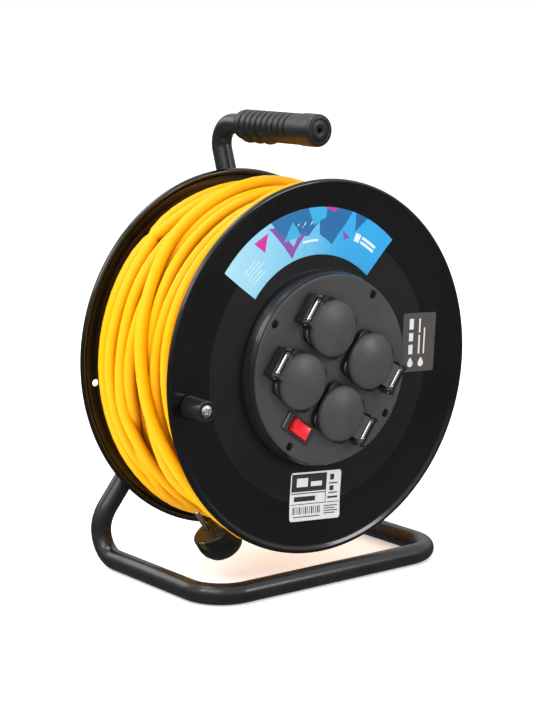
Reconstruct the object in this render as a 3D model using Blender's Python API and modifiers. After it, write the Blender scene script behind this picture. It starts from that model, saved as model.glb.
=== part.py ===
"""Extension cord reel: a steel drum on a bent-tube stand, with four covered sockets and a switch in its face.

Metres, +Z up. The front of the drum faces -Y. The origin is on the floor, under the middle of the object.
The drum's own pieces are laid out in the drum frame: x to the right, y up, z out of the drum's face,
with its origin on the drum's axis, halfway between the rims.
"""

import math

import bmesh
import bpy
from mathutils import Matrix, Vector

# Driving dimensions.
GAP = 0.0003
FLANGE_RADIUS = 0.160
RIM_TO_RIM = 0.1338
AXIS_HEIGHT = 0.185
DRUM_Y = -0.0045
SHEET = 0.0012
RIM_BEAD_RADIUS = 0.0026
BEND_RADIUS_ON_FLANGE = 0.117
FLAT_RECESS = 0.0044
CORE_RADIUS = 0.092
CORE_WALL = 0.0020

# Winding and the cable's free end.
CABLE_DIAMETER = 0.0106
WINDING_RADIUS = 0.1490
WINDING_RADIUS_AT_REAR = 0.1455
WINDING_HALF_WIDTH = 0.0585

# Socket panel, measured out of the drum's face from the drum's middle.
PANEL_RADIUS = 0.0808
PANEL_FACE = 0.0766
PANEL_THICKNESS = 0.0050
PANEL_STEP_RADIUS = 0.0796
HOUSING_BASE_RADIUS = 0.0848
PANEL_SCREW_CIRCLE = 0.0750
PANEL_SCREW_TURN = math.radians(53.2)
RIVET_CIRCLE = 0.0760
RIVET_TURN = math.radians(98.2)

# Sockets and their covers.
SOCKET_CIRCLE = 0.0370
SOCKET_TURN = math.radians(7.0)
HINGE_LINE_TURN = math.radians(54.5)
COLLAR_HALF = 0.0220
COLLAR_HEIGHT = 0.0050
SOCKET_BODY_RADIUS = 0.0213
RECESS_RADIUS = 0.0195
RECESS_DEPTH = 0.0175
SOCKET_DEPTH = 0.0230
CONTACT_SPACING = 0.0190
LID_RADIUS = 0.0240
LID_TOP = 0.0139
LID_WALL = 0.0020
HINGE_OFFSET = 0.0304
HINGE_HEIGHT = 0.0105
PIN_RADIUS = 0.00125
KNUCKLE_RADIUS = 0.0026
EAR_INNER = 0.0113
EAR_THICKNESS = 0.0022

# Switch.
SWITCH_PLACE = (-0.0368, -0.0451)
SWITCH_TURN = math.radians(-35.0)
BEZEL_LENGTH = 0.0330
BEZEL_WIDTH = 0.0160
BEZEL_HEIGHT = 0.0026
ROCKER_LENGTH = 0.0194
ROCKER_WIDTH = 0.0118
ROCKER_TILT = math.radians(8.0)

# Crank knob on the face.
KNOB_PLACE = (-0.1392, -0.0157)
KNOB_RADIUS = 0.0095
KNOB_TIP = 0.0912

# Stand.
TUBE_RADIUS = 0.0090
STAND_HALF_WIDTH = 0.1248
STAND_FRONT_Y = -0.0770
STAND_REAR_Y = 0.0920
FLAT_DOWN = math.radians(-1.86)
HANDLE_X = 0.0090
GRIP_START_Y = 0.0590
GRIP_END_Y = -0.0483
GRIP_RADIUS = 0.0138
GRIP_HEIGHT = 0.3834
AXLE_RADIUS = 0.0060
PLATE_FRONT = 0.0660
PLATE_THICKNESS = 0.0030

TAU = 2.0 * math.pi
FACE_RIM = RIM_TO_RIM / 2.0
FLAT_FACE = FACE_RIM - FLAT_RECESS


def clear_scene():
    for old in list(bpy.data.objects):
        bpy.data.objects.remove(old, do_unlink=True)


def collection(name):
    made = bpy.data.collections.new(name)
    bpy.context.scene.collection.children.link(made)
    return made


def material(name, colour, roughness, metallic=0.0):
    made = bpy.data.materials.new(name)
    made.use_nodes = True
    shader = made.node_tree.nodes["Principled BSDF"]
    shader.inputs["Base Color"].default_value = (*colour, 1.0)
    shader.inputs["Roughness"].default_value = roughness
    shader.inputs["Metallic"].default_value = metallic
    made.diffuse_color = (*colour, 1.0)
    return made


clear_scene()
PARTS = collection("extension_cord_reel")
CUTTERS = collection("cutters")

ENAMEL = material("black_enamel", (0.012, 0.011, 0.011), 0.12)
TUBE_PAINT = material("stand_paint", (0.020, 0.021, 0.022), 0.30)
PANEL_PLASTIC = material("panel_plastic", (0.065, 0.065, 0.065), 0.55)
HOUSING_PLASTIC = material("housing_plastic", (0.015, 0.015, 0.016), 0.20)
SOCKET_PLASTIC = material("socket_plastic", (0.03, 0.03, 0.03), 0.45)
GRIP_RUBBER = material("grip_rubber", (0.035, 0.037, 0.040), 0.50)
STEEL = material("bright_steel", (0.55, 0.55, 0.54), 0.25, 1.0)
ZINC = material("zinc_plate", (0.60, 0.61, 0.58), 0.35, 1.0)
BRASS = material("brass", (0.72, 0.50, 0.22), 0.30, 1.0)
NYLON = material("nylon", (0.55, 0.53, 0.47), 0.50)
CORD_PVC = material("yellow_cable", (1.0, 0.50, 0.01), 0.40)
PLUG_PVC = material("plug_plastic", (0.015, 0.015, 0.017), 0.45)
RED_ROCKER = material("red_rocker", (0.65, 0.02, 0.03), 0.25)
LABEL_FILM = material("label_film", (0.05, 0.35, 0.75), 0.30)
LABEL_GREY = material("label_grey", (0.16, 0.14, 0.13), 0.35)
LABEL_WHITE = material("label_white", (0.80, 0.80, 0.80), 0.35)


def empty(name, parent, location, rotation=(0.0, 0.0, 0.0)):
    made = bpy.data.objects.new(name, None)
    made.empty_display_size = 0.02
    made.parent = parent
    made.location = location
    made.rotation_euler = rotation
    PARTS.objects.link(made)
    return made


def add(name, data, paint, parent, location=(0.0, 0.0, 0.0), rotation=(0.0, 0.0, 0.0), cutter=False):
    made = bpy.data.objects.new(name, data)
    made.parent = parent
    made.location = location
    made.rotation_euler = rotation
    if cutter:
        made.hide_render = True
        made.display_type = "WIRE"
        CUTTERS.objects.link(made)
    else:
        data.materials.append(paint)
        PARTS.objects.link(made)
    return made


def mesh_from(name, shape):
    bmesh.ops.recalc_face_normals(shape, faces=shape.faces)
    data = bpy.data.meshes.new(name)
    shape.to_mesh(data)
    shape.free()
    return data


def cylinder_mesh(name, radius, low, high, sides=32, far_radius=None):
    """A cylinder or cone on the z axis between two heights."""
    shape = bmesh.new()
    top = radius if far_radius is None else far_radius
    middle = Matrix.Translation((0.0, 0.0, (low + high) / 2.0))
    bmesh.ops.create_cone(shape, cap_ends=True, cap_tris=False, segments=sides, radius1=radius,
                          radius2=top, depth=high - low, matrix=middle)
    return mesh_from(name, shape)


def box_mesh(name, low, high):
    shape = bmesh.new()
    bmesh.ops.create_cube(shape, size=1.0)
    for vertex in shape.verts:
        for axis in range(3):
            vertex.co[axis] = low[axis] if vertex.co[axis] < 0.0 else high[axis]
    return mesh_from(name, shape)


def turned(name, outline, paint, parent, location=(0.0, 0.0, 0.0), rotation=(0.0, 0.0, 0.0), steps=48):
    """Turns an outline of (radius, height) points about z. The outline runs down its outer side.
    It is open where it starts and ends on the axis, and closed where it stays off it."""
    shape = bmesh.new()
    made = [shape.verts.new((radius, 0.0, height)) for radius, height in outline]
    for first, second in zip(made, made[1:]):
        shape.edges.new((first, second))
    if outline[0][0] > 0.0:
        shape.edges.new((made[-1], made[0]))
    data = bpy.data.meshes.new(name)
    shape.to_mesh(data)
    shape.free()
    piece = add(name, data, paint, parent, location, rotation)
    screw = piece.modifiers.new("turn", "SCREW")
    screw.axis = "Z"
    screw.angle = TAU
    screw.steps = steps
    screw.render_steps = steps
    screw.use_merge_vertices = True
    screw.merge_threshold = 0.00002
    screw.use_smooth_shade = True
    return piece


def rounded_outline(half_x, half_y, corner, points=4):
    """Points round a rectangle with round corners, counterclockwise."""
    found = []
    for quarter in range(4):
        start = quarter * math.pi / 2.0
        centre_x = (half_x - corner) * (1 if quarter in (0, 3) else -1)
        centre_y = (half_y - corner) * (1 if quarter in (0, 1) else -1)
        for step in range(points + 1):
            angle = start + step * math.pi / (2.0 * points)
            found.append((centre_x + corner * math.cos(angle), centre_y + corner * math.sin(angle)))
    return found


def slab_mesh(name, outline, low, high):
    """A flat outline of (x, y) points, extruded between two heights."""
    shape = bmesh.new()
    face = shape.faces.new([shape.verts.new((x, y, low)) for x, y in outline])
    raised = bmesh.ops.extrude_face_region(shape, geom=[face])["geom"]
    lifted = [item for item in raised if isinstance(item, bmesh.types.BMVert)]
    bmesh.ops.translate(shape, verts=lifted, vec=(0.0, 0.0, high - low))
    return mesh_from(name, shape)


def boolean(made, other, operation):
    modifier = made.modifiers.new(operation.lower(), "BOOLEAN")
    modifier.operation = operation
    modifier.object = other
    modifier.solver = "EXACT"


def cut(made, data, location=(0.0, 0.0, 0.0), rotation=(0.0, 0.0, 0.0)):
    """Cuts a mesh, placed in the same frame as the piece, out of the piece."""
    tool = add(data.name, data, None, made.parent, location, rotation, cutter=True)
    boolean(made, tool, "DIFFERENCE")


def join(made, data, location=(0.0, 0.0, 0.0), rotation=(0.0, 0.0, 0.0)):
    tool = add(data.name, data, None, made.parent, location, rotation, cutter=True)
    boolean(made, tool, "UNION")


def bevelled(made, width, segments=2, angle=40.0):
    modifier = made.modifiers.new("edges", "BEVEL")
    modifier.width = width
    modifier.segments = segments
    modifier.limit_method = "ANGLE"
    modifier.angle_limit = math.radians(angle)


def tube(name, points, radius, paint, parent, resolution=3, roll=0.0):
    data = bpy.data.curves.new(name, "CURVE")
    data.dimensions = "3D"
    data.bevel_depth = radius
    data.bevel_resolution = resolution
    data.use_fill_caps = True
    line = data.splines.new("POLY")
    line.points.add(len(points) - 1)
    for slot, point in zip(line.points, points):
        slot.co = (*point, 1.0)
        slot.tilt = roll
    return add(name, data, paint, parent)


def filleted(corners, radii, pieces=5):
    """A line through the corners, each inner corner replaced by an arc of its radius."""
    points = [Vector(corners[0])]
    for index, radius in enumerate(radii, start=1):
        corner = Vector(corners[index])
        back = (Vector(corners[index - 1]) - corner).normalized()
        on = (Vector(corners[index + 1]) - corner).normalized()
        half = back.angle(on) / 2.0
        centre = corner + (back + on).normalized() * radius / math.sin(half)
        first = corner + back * radius / math.tan(half) - centre
        last = corner + on * radius / math.tan(half) - centre
        sweep = first.angle(last)
        for step in range(pieces + 1):
            share = step / pieces
            left = math.sin((1.0 - share) * sweep) * first
            right = math.sin(share * sweep) * last
            points.append(centre + (left + right) / math.sin(sweep))
    points.append(Vector(corners[-1]))
    return points


def polar(radius, angle, height=0.0):
    return (radius * math.cos(angle), radius * math.sin(angle), height)


def quarter_turns(radius, turn, height=0.0):
    """Four places on a circle, a quarter turn apart."""
    return [polar(radius, turn + quarter * math.pi / 2.0, height) for quarter in range(4)]


def flange_height(radius):
    """How far in front of the drum's middle the front flange's face is at a radius."""
    if radius <= BEND_RADIUS_ON_FLANGE:
        return FLAT_FACE
    share = (radius - BEND_RADIUS_ON_FLANGE) / (FLANGE_RADIUS - BEND_RADIUS_ON_FLANGE)
    return FLAT_FACE + share * (FLAT_RECESS - 0.0012)


def make_stand(frame):
    """One bent tube: left leg, floor loop, right leg and handle. The plate and the axle are fixed to it."""
    foot_z = TUBE_RADIUS * math.cos(math.pi / 10.0)
    left_leg_end = (-0.0144, 0.0787, 0.1960)
    knee = (0.1256, 0.0896, 0.0426)
    bends = [
        ((-knee[0], knee[1], knee[2]), 0.034),
        ((-STAND_HALF_WIDTH, STAND_REAR_Y, foot_z), 0.0224),
        ((-STAND_HALF_WIDTH, STAND_FRONT_Y, foot_z), 0.033),
        ((STAND_HALF_WIDTH, STAND_FRONT_Y, foot_z), 0.033),
        ((STAND_HALF_WIDTH, STAND_REAR_Y, foot_z), 0.0224),
        (knee, 0.034),
        ((HANDLE_X, 0.0786, 0.2035), 0.045),
        ((HANDLE_X, 0.0812, 0.3330), 0.060),
        ((HANDLE_X, 0.0985, GRIP_HEIGHT), 0.0182),
    ]
    tube_end = (HANDLE_X, GRIP_END_Y + 0.012, GRIP_HEIGHT)
    corners = [left_leg_end] + [corner for corner, radius in bends] + [tube_end]
    route = filleted(corners, [radius for corner, radius in bends])
    tube("stand_tube", route, TUBE_RADIUS, TUBE_PAINT, frame, resolution=3, roll=FLAT_DOWN)

    facing = (math.pi / 2.0, 0.0, 0.0)
    length = GRIP_START_Y - GRIP_END_Y
    bore = TUBE_RADIUS + GAP
    hand_grip = [
        (0.0018, length), (0.0100, length), (0.0128, length - 0.0012), (0.0138, length - 0.0040),
        (0.0138, length - 0.0180), (GRIP_RADIUS, length - 0.0210), (GRIP_RADIUS, 0.0150),
        (0.0128, 0.0040), (0.0112, 0.0), (bore, 0.0), (bore, length - 0.0115), (0.0018, length - 0.0115),
    ]
    grip_place = (HANDLE_X, GRIP_START_Y, GRIP_HEIGHT)
    turned("handle_grip", hand_grip, GRIP_RUBBER, frame, grip_place, facing, steps=24)

    on_axis = (0.0, 0.0, AXIS_HEIGHT)
    plate_place = (0.0, PLATE_FRONT, AXIS_HEIGHT)
    plate = slab_mesh("hub_plate", rounded_outline(0.034, 0.038, 0.010, 3), -PLATE_THICKNESS, -GAP)
    hub = add("hub_plate", plate, TUBE_PAINT, frame, plate_place, facing)
    cut(hub, cylinder_mesh("hub_plate_hole", AXLE_RADIUS + GAP, -0.010, 0.010, 20), plate_place, facing)

    back = PLATE_FRONT + PLATE_THICKNESS
    axle = [
        (0.0, 0.0020), (0.0052, 0.0020), (AXLE_RADIUS, 0.0012), (AXLE_RADIUS, -back - GAP),
        (0.0095, -back - GAP), (0.0080, -back - 0.0022), (0.0, -back - 0.0022),
    ]
    turned("axle", axle, ZINC, frame, on_axis, facing, steps=20)

    washer_low = -PLATE_FRONT + GAP
    washer_high = -FLAT_FACE - GAP
    thrust = [(0.0150, washer_high), (0.0150, washer_low), (0.0063, washer_low), (0.0063, washer_high)]
    turned("thrust_washer", thrust, NYLON, frame, on_axis, facing, steps=20)
    front_washer = [(0.0120, -0.0062), (0.0120, -0.0078), (0.0063, -0.0078), (0.0063, -0.0062)]
    turned("axle_washer", front_washer, ZINC, frame, on_axis, facing, steps=20)
    hexagon = cylinder_mesh("axle_nut", 0.0108, -0.0059, -0.0002, sides=6)
    nut = add("axle_nut", hexagon, ZINC, frame, on_axis, facing)
    cut(nut, cylinder_mesh("axle_nut_hole", AXLE_RADIUS + GAP, -0.010, 0.010, 20), on_axis, facing)


def flange_outline(inner_radius):
    """A pressed sheet: a flat middle, a bend, a shallow slope and a rolled bead at the rim."""
    face = flange_height
    bead_height = FACE_RIM - RIM_BEAD_RADIUS
    bead_middle = FLANGE_RADIUS - RIM_BEAD_RADIUS
    outline = [(inner_radius, FLAT_FACE), (BEND_RADIUS_ON_FLANGE, FLAT_FACE),
               (bead_middle - 0.0030, face(bead_middle - 0.0030))]
    for step in range(6):
        angle = math.radians(150.0 - 60.0 * step)
        outline.append((bead_middle + RIM_BEAD_RADIUS * math.cos(angle),
                        bead_height + RIM_BEAD_RADIUS * math.sin(angle)))
    outline.append((bead_middle - 0.0034, face(bead_middle - 0.0034) - SHEET))
    outline.append((BEND_RADIUS_ON_FLANGE, FLAT_FACE - SHEET))
    outline.append((inner_radius, FLAT_FACE - SHEET))
    return outline


def make_drum(drum):
    """The two flanges, the core between them, the bearing hub on the axle and the rods that hold them."""
    front = turned("front_flange", flange_outline(0.0700), ENAMEL, drum, steps=48)
    rear = turned("rear_flange", flange_outline(0.0150), ENAMEL, drum, rotation=(math.pi, 0.0, 0.0), steps=48)
    seat = FLAT_FACE - SHEET - GAP
    core = [(CORE_RADIUS, seat), (CORE_RADIUS, -seat), (CORE_RADIUS - CORE_WALL, -seat),
            (CORE_RADIUS - CORE_WALL, seat)]
    drum_core = turned("drum_core", core, HOUSING_PLASTIC, drum, steps=40)

    hub_radius = CORE_RADIUS - CORE_WALL - 2.0 * GAP
    bearing_hub = [
        (0.0140, -0.0095), (0.0165, -seat + 0.0040), (0.0620, -seat + 0.0040), (0.0640, -seat + 0.0100),
        (0.0665, -seat + 0.0100), (0.0685, -seat + 0.0030), (hub_radius, -seat + 0.0030),
        (hub_radius, -seat), (0.0094, -seat), (0.0094, -0.0095),
    ]
    hub = turned("bearing_hub", bearing_hub, HOUSING_PLASTIC, drum, steps=32)
    for name, low in (("rear_bush", -seat), ("front_bush", -0.0220)):
        bush = [(0.0091, low + 0.0120), (0.0091, low), (0.00635, low), (0.00635, low + 0.0120)]
        turned(name, bush, BRASS, drum, steps=20)

    for index, place in enumerate(quarter_turns(RIVET_CIRCLE, RIVET_TURN), start=1):
        reach = FLAT_FACE + GAP
        rod = [(0.0, reach + 0.0018), (0.0030, reach + 0.0018), (0.0048, reach), (0.0025, reach),
               (0.0025, -reach), (0.0048, -reach), (0.0030, -reach - 0.0018), (0.0, -reach - 0.0018)]
        turned(f"tie_rod_{index}", rod, ZINC, drum, place, steps=12)
        for sheet in (front, rear, hub):
            hole = cylinder_mesh(f"{sheet.name}_rod_hole_{index}", 0.0029, -0.070, 0.070, sides=10)
            cut(sheet, hole, place)
    for index, place in enumerate(quarter_turns(PANEL_SCREW_CIRCLE, PANEL_SCREW_TURN), start=1):
        cut(front, cylinder_mesh(f"front_screw_hole_{index}", 0.0024, 0.050, 0.070, sides=10), place)
    cut(front, cylinder_mesh("front_knob_hole", 0.0031, 0.050, 0.070, sides=12), (*KNOB_PLACE, 0.0))
    rim_hole = cylinder_mesh("rear_rim_hole", 0.0030, -0.070, -0.050, sides=16)
    cut(rear, rim_hole, polar(0.1465, math.radians(186.0)))

    gland_turn = math.radians(230.0)
    gland_place = polar(0.0, 0.0, -0.0300)
    along = (0.0, math.pi / 2.0, gland_turn)
    mouth = CORE_RADIUS - GAP
    gland = [(0.0068, mouth), (0.0068, mouth - 0.0030), (0.0095, mouth - 0.0036), (0.0095, 0.0780),
             (0.0056, 0.0780), (0.0056, mouth)]
    turned("cable_gland", gland, HOUSING_PLASTIC, drum, gland_place, along, steps=16)
    cut(drum_core, cylinder_mesh("core_gland_hole", 0.0071, 0.080, 0.100, sides=20), gland_place, along)
    inner = [polar(0.0910, gland_turn, -0.0300), polar(0.0760, gland_turn, -0.0300),
             polar(0.0660, gland_turn, -0.0280), polar(0.0540, gland_turn, -0.0190),
             polar(0.0430, gland_turn, -0.0060), polar(0.0330, gland_turn, 0.0090),
             polar(0.0220, gland_turn, 0.0230), polar(0.0110, gland_turn, 0.0340),
             polar(0.0030, gland_turn, 0.0410), polar(0.0, gland_turn, 0.0450),
             polar(0.0, gland_turn, 0.0497)]
    tube("inner_cable", inner, CABLE_DIAMETER / 2.0, CORD_PVC, drum, resolution=2)


def make_panel(drum):
    """The housing ring on the front flange, the panel on it, and the terminal block behind."""
    foot = FLAT_FACE + GAP
    housing = [
        (PANEL_RADIUS + 0.0001, 0.0738), (HOUSING_BASE_RADIUS, foot + 0.0006), (HOUSING_BASE_RADIUS, foot),
        (HOUSING_BASE_RADIUS - 0.0024, foot), (0.0802, 0.0693), (0.0705, 0.0693), (0.0705, 0.0713),
        (PANEL_STEP_RADIUS + GAP, 0.0713), (PANEL_STEP_RADIUS + GAP, 0.0738),
    ]
    ring = turned("panel_housing", housing, HOUSING_PLASTIC, drum, steps=40)
    back = PANEL_FACE - PANEL_THICKNESS
    plate = [(0.0, PANEL_FACE), (PANEL_RADIUS - 0.0008, PANEL_FACE), (PANEL_RADIUS, PANEL_FACE - 0.0008),
             (PANEL_RADIUS, 0.0741), (PANEL_STEP_RADIUS, 0.0741), (PANEL_STEP_RADIUS, back), (0.0, back)]
    panel = turned("socket_panel", plate, PANEL_PLASTIC, drum, steps=40)
    for index, place in enumerate(quarter_turns(PANEL_SCREW_CIRCLE, PANEL_SCREW_TURN), start=1):
        cut(panel, cylinder_mesh(f"panel_counterbore_{index}", 0.0039, back + 0.0012, 0.080, sides=14), place)
        cut(panel, cylinder_mesh(f"panel_screw_hole_{index}", 0.0023, back - 0.001, 0.080, sides=10), place)
        cut(ring, cylinder_mesh(f"housing_screw_hole_{index}", 0.0023, 0.060, 0.080, sides=10), place)
        seat = back + 0.0012 + GAP
        screw = [(0.0, seat + 0.0018), (0.0024, seat + 0.0018), (0.0034, seat + 0.0006), (0.0034, seat),
                 (0.0019, seat), (0.0019, 0.0585), (0.0008, 0.0570), (0.0, 0.0570)]
        head = turned(f"panel_screw_{index}", screw, ZINC, drum, place, steps=12)
        for cross in range(2):
            slot = box_mesh(f"panel_screw_slot_{index}_{cross}", (-0.0020, -0.0004, seat + 0.0008),
                            (0.0020, 0.0004, seat + 0.0030))
            cut(head, slot, place, (0.0, 0.0, cross * math.pi / 2.0 + 0.3 * index))
    for index, place in enumerate(quarter_turns(SOCKET_CIRCLE, SOCKET_TURN), start=1):
        hole = cylinder_mesh(f"panel_socket_hole_{index}", SOCKET_BODY_RADIUS + GAP, 0.060, 0.080, sides=32)
        cut(panel, hole, place)
    opening = slab_mesh("panel_switch_hole", rounded_outline(0.0143, 0.0068, 0.0010, 2), 0.060, 0.090)
    cut(panel, opening, (*SWITCH_PLACE, 0.0), (0.0, 0.0, SWITCH_TURN))
    block_shape = box_mesh("terminal_block", (-0.009, -0.009, 0.0500), (0.009, 0.009, back - GAP))
    block = add("terminal_block", block_shape, NYLON, drum)
    bevelled(block, 0.0010, 1)


def lid_direction(index):
    """The way from a socket's middle to its hinge: up and left for two sockets, down and right for two."""
    left_and_top = HINGE_LINE_TURN + math.pi / 2.0
    return left_and_top if index in (2, 3) else left_and_top + math.pi


def make_socket(drum, index, place):
    """A square collar on a round body, with the round recess, two contact holes and the hinge ears.

    The socket's own frame has +y towards the hinge and x along the hinge line."""
    turn = lid_direction(index) - math.pi / 2.0
    where = (place[0], place[1], PANEL_FACE)
    spin = (0.0, 0.0, turn)
    outline = rounded_outline(COLLAR_HALF, COLLAR_HALF, 0.0085, 3)
    collar = slab_mesh(f"socket_{index}", outline, GAP, COLLAR_HEIGHT)
    socket = add(f"socket_{index}", collar, SOCKET_PLASTIC, drum, where, spin)
    body = cylinder_mesh(f"socket_body_{index}", SOCKET_BODY_RADIUS, COLLAR_HEIGHT - SOCKET_DEPTH, 0.0020, 24)
    join(socket, body, where, spin)
    wall = HINGE_OFFSET + KNUCKLE_RADIUS + 0.0006
    ear_outer = EAR_INNER + EAR_THICKNESS
    floor = box_mesh(f"socket_bracket_{index}", (-ear_outer, 0.0200, GAP), (ear_outer, wall + 0.0018, 0.0040))
    join(socket, floor, where, spin)
    back = box_mesh(f"socket_bracket_wall_{index}", (-ear_outer, wall, 0.0030),
                    (ear_outer, wall + 0.0018, HINGE_HEIGHT - 0.0002))
    join(socket, back, where, spin)
    for side in (-1, 1):
        inner = side * EAR_INNER
        outer = side * ear_outer
        ear = box_mesh(f"socket_ear_{index}_{side + 1}",
                       (min(inner, outer), HINGE_OFFSET - 0.0052, 0.0030),
                       (max(inner, outer), wall + 0.0018, HINGE_HEIGHT + 0.0024))
        join(socket, ear, where, spin)
    recess = cylinder_mesh(f"socket_recess_{index}", RECESS_RADIUS, COLLAR_HEIGHT - RECESS_DEPTH, 0.0200, 24)
    cut(socket, recess, where, spin)
    for side in (-1, 1):
        contact = cylinder_mesh(f"socket_contact_{index}_{side + 1}", 0.0026,
                                COLLAR_HEIGHT - SOCKET_DEPTH + 0.001, 0.0, 10)
        offset = Vector((side * CONTACT_SPACING / 2.0, 0.0, 0.0))
        offset.rotate(Matrix.Rotation(turn, 3, "Z"))
        cut(socket, contact, Vector(where) + offset, spin)
    hinge = hinge_place(place, turn)
    along_hinge = (math.pi / 2.0, 0.0, turn + math.pi / 2.0)
    pin_hole = cylinder_mesh(f"socket_pin_hole_{index}", PIN_RADIUS + GAP + 0.0001, -0.020, 0.020, 12)
    cut(socket, pin_hole, hinge, along_hinge)

    pin = cylinder_mesh(f"hinge_pin_{index}", PIN_RADIUS, -ear_outer - 0.0004, ear_outer + 0.0004, 12)
    add(f"hinge_pin_{index}", pin, STEEL, drum, hinge, along_hinge)
    spring = [(0.0023, 0.0068), (0.0023, -0.0068), (0.00158, -0.0068), (0.00158, 0.0068)]
    turned(f"lid_spring_{index}", spring, STEEL, drum, hinge, along_hinge, steps=12)


def hinge_place(place, turn):
    """The middle of a cover's hinge line, in the drum frame."""
    along = Vector((0.0, HINGE_OFFSET, 0.0))
    along.rotate(Matrix.Rotation(turn, 3, "Z"))
    return Vector((place[0], place[1], PANEL_FACE + HINGE_HEIGHT)) + along


def make_lid(drum, index, place):
    """A domed cap on a flat arm with two knuckles. Its frame is on the hinge, +y away from the socket."""
    turn = lid_direction(index) - math.pi / 2.0
    axis = empty(f"lid_{index}_axis", drum, hinge_place(place, turn), (0.0, 0.0, turn))
    base = HINGE_HEIGHT
    middle = (0.0, -HINGE_OFFSET, -base)
    rim = COLLAR_HEIGHT + 0.0004
    cap = [(0.0, LID_TOP), (0.0110, LID_TOP - 0.0003), (0.0190, LID_TOP - 0.0011), (0.0222, LID_TOP - 0.0020),
           (0.0236, LID_TOP - 0.0036), (LID_RADIUS, LID_TOP - 0.0055), (LID_RADIUS, rim),
           (LID_RADIUS - LID_WALL, rim), (LID_RADIUS - LID_WALL, LID_TOP - 0.0050),
           (0.0190, LID_TOP - 0.0034), (0.0, LID_TOP - 0.0024)]
    lid = turned(f"lid_{index}", cap, PANEL_PLASTIC, axis, middle, steps=24)
    arm_top = 0.0019
    arm = box_mesh(f"lid_arm_{index}", (-0.0108, -HINGE_OFFSET + 0.0195, -0.0008), (0.0108, -0.0030, arm_top))
    join(lid, arm)
    for side in (-1, 1):
        low = 0.0072 if side > 0 else -0.0108
        tab = box_mesh(f"lid_tab_{index}_{side + 1}", (low, -0.0036, -0.0008), (low + 0.0036, 0.0, arm_top))
        join(lid, tab)
        knuckle = cylinder_mesh(f"lid_knuckle_{index}_{side + 1}", KNUCKLE_RADIUS, low, low + 0.0036, 16)
        join(lid, knuckle, (0.0, 0.0, 0.0), (math.pi / 2.0, 0.0, math.pi / 2.0))
    bore = cylinder_mesh(f"lid_bore_{index}", PIN_RADIUS + GAP + 0.0001, -0.020, 0.020, 12)
    cut(lid, bore, (0.0, 0.0, 0.0), (math.pi / 2.0, 0.0, math.pi / 2.0))


def make_switch(drum):
    """A raised bezel with the red rocker in it. The rocker turns about its short middle line."""
    where = (*SWITCH_PLACE, PANEL_FACE)
    spin = (0.0, 0.0, SWITCH_TURN)
    outline = rounded_outline(BEZEL_LENGTH / 2.0, BEZEL_WIDTH / 2.0, 0.0012, 2)
    frame = slab_mesh("switch_bezel", outline, GAP, BEZEL_HEIGHT)
    bezel = add("switch_bezel", frame, HOUSING_PLASTIC, drum, where, spin)
    body = slab_mesh("switch_body", rounded_outline(0.0138, 0.0064, 0.0008, 2), -0.0220, 0.0015)
    join(bezel, body, where, spin)
    well = box_mesh("switch_well", (-0.0106, -0.0061, -0.0100), (0.0106, 0.0061, 0.0100))
    cut(bezel, well, where, spin)

    axis = empty("switch_rocker_axis", drum, (where[0], where[1], PANEL_FACE - 0.0010), spin)
    half = ROCKER_LENGTH / 2.0
    section = [
        (-half, 0.0062), (-half + 0.0006, 0.0066), (0.0, 0.0042), (half - 0.0006, 0.0066), (half, 0.0062),
        (half - 0.0012, -0.0030), (0.0045, -0.0070), (-0.0045, -0.0070), (-half + 0.0012, -0.0030),
    ]
    half_width = ROCKER_WIDTH / 2.0 - 0.0002
    rocker = slab_mesh("switch_rocker", section, -half_width, half_width)
    add("switch_rocker", rocker, RED_ROCKER, axis, rotation=(math.pi / 2.0, ROCKER_TILT, 0.0))


def make_knob(drum):
    """The knob turns on the screw that is fixed to the front flange."""
    seat = flange_height(math.hypot(*KNOB_PLACE) + KNOB_RADIUS) + GAP
    axis = empty("knob_axis", drum, (*KNOB_PLACE, 0.0))
    outline = [(0.0052, KNOB_TIP - 0.0010), (0.0078, KNOB_TIP - 0.0010), (0.0088, KNOB_TIP - 0.0020),
               (KNOB_RADIUS, seat + 0.0030), (KNOB_RADIUS - 0.0005, seat), (0.0031, seat),
               (0.0031, KNOB_TIP - 0.0040), (0.0052, KNOB_TIP - 0.0040)]
    turned("knob", outline, HOUSING_PLASTIC, axis, steps=20)
    under_head = KNOB_TIP - 0.0037
    screw = [(0.0, KNOB_TIP), (0.0024, KNOB_TIP - 0.0002), (0.0042, KNOB_TIP - 0.0014),
             (0.0044, under_head + 0.0002), (0.0044, under_head), (0.0028, under_head), (0.0028, 0.0590),
             (0.0, 0.0590)]
    head = turned("knob_screw", screw, ZINC, drum, (*KNOB_PLACE, 0.0), steps=16)
    for cross in range(2):
        slot = box_mesh(f"knob_screw_slot_{cross}", (-0.0026, -0.0005, KNOB_TIP - 0.0014),
                        (0.0026, 0.0005, KNOB_TIP + 0.0020))
        cut(head, slot, (*KNOB_PLACE, 0.0), (0.0, 0.0, 0.5 + cross * math.pi / 2.0))
    hexagon = cylinder_mesh("knob_nut", 0.0046, 0.0593, 0.0622, 6)
    nut = add("knob_nut", hexagon, ZINC, drum, (*KNOB_PLACE, 0.0))
    cut(nut, cylinder_mesh("knob_nut_hole", 0.0031, 0.0500, 0.0700, 16), (*KNOB_PLACE, 0.0))


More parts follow.
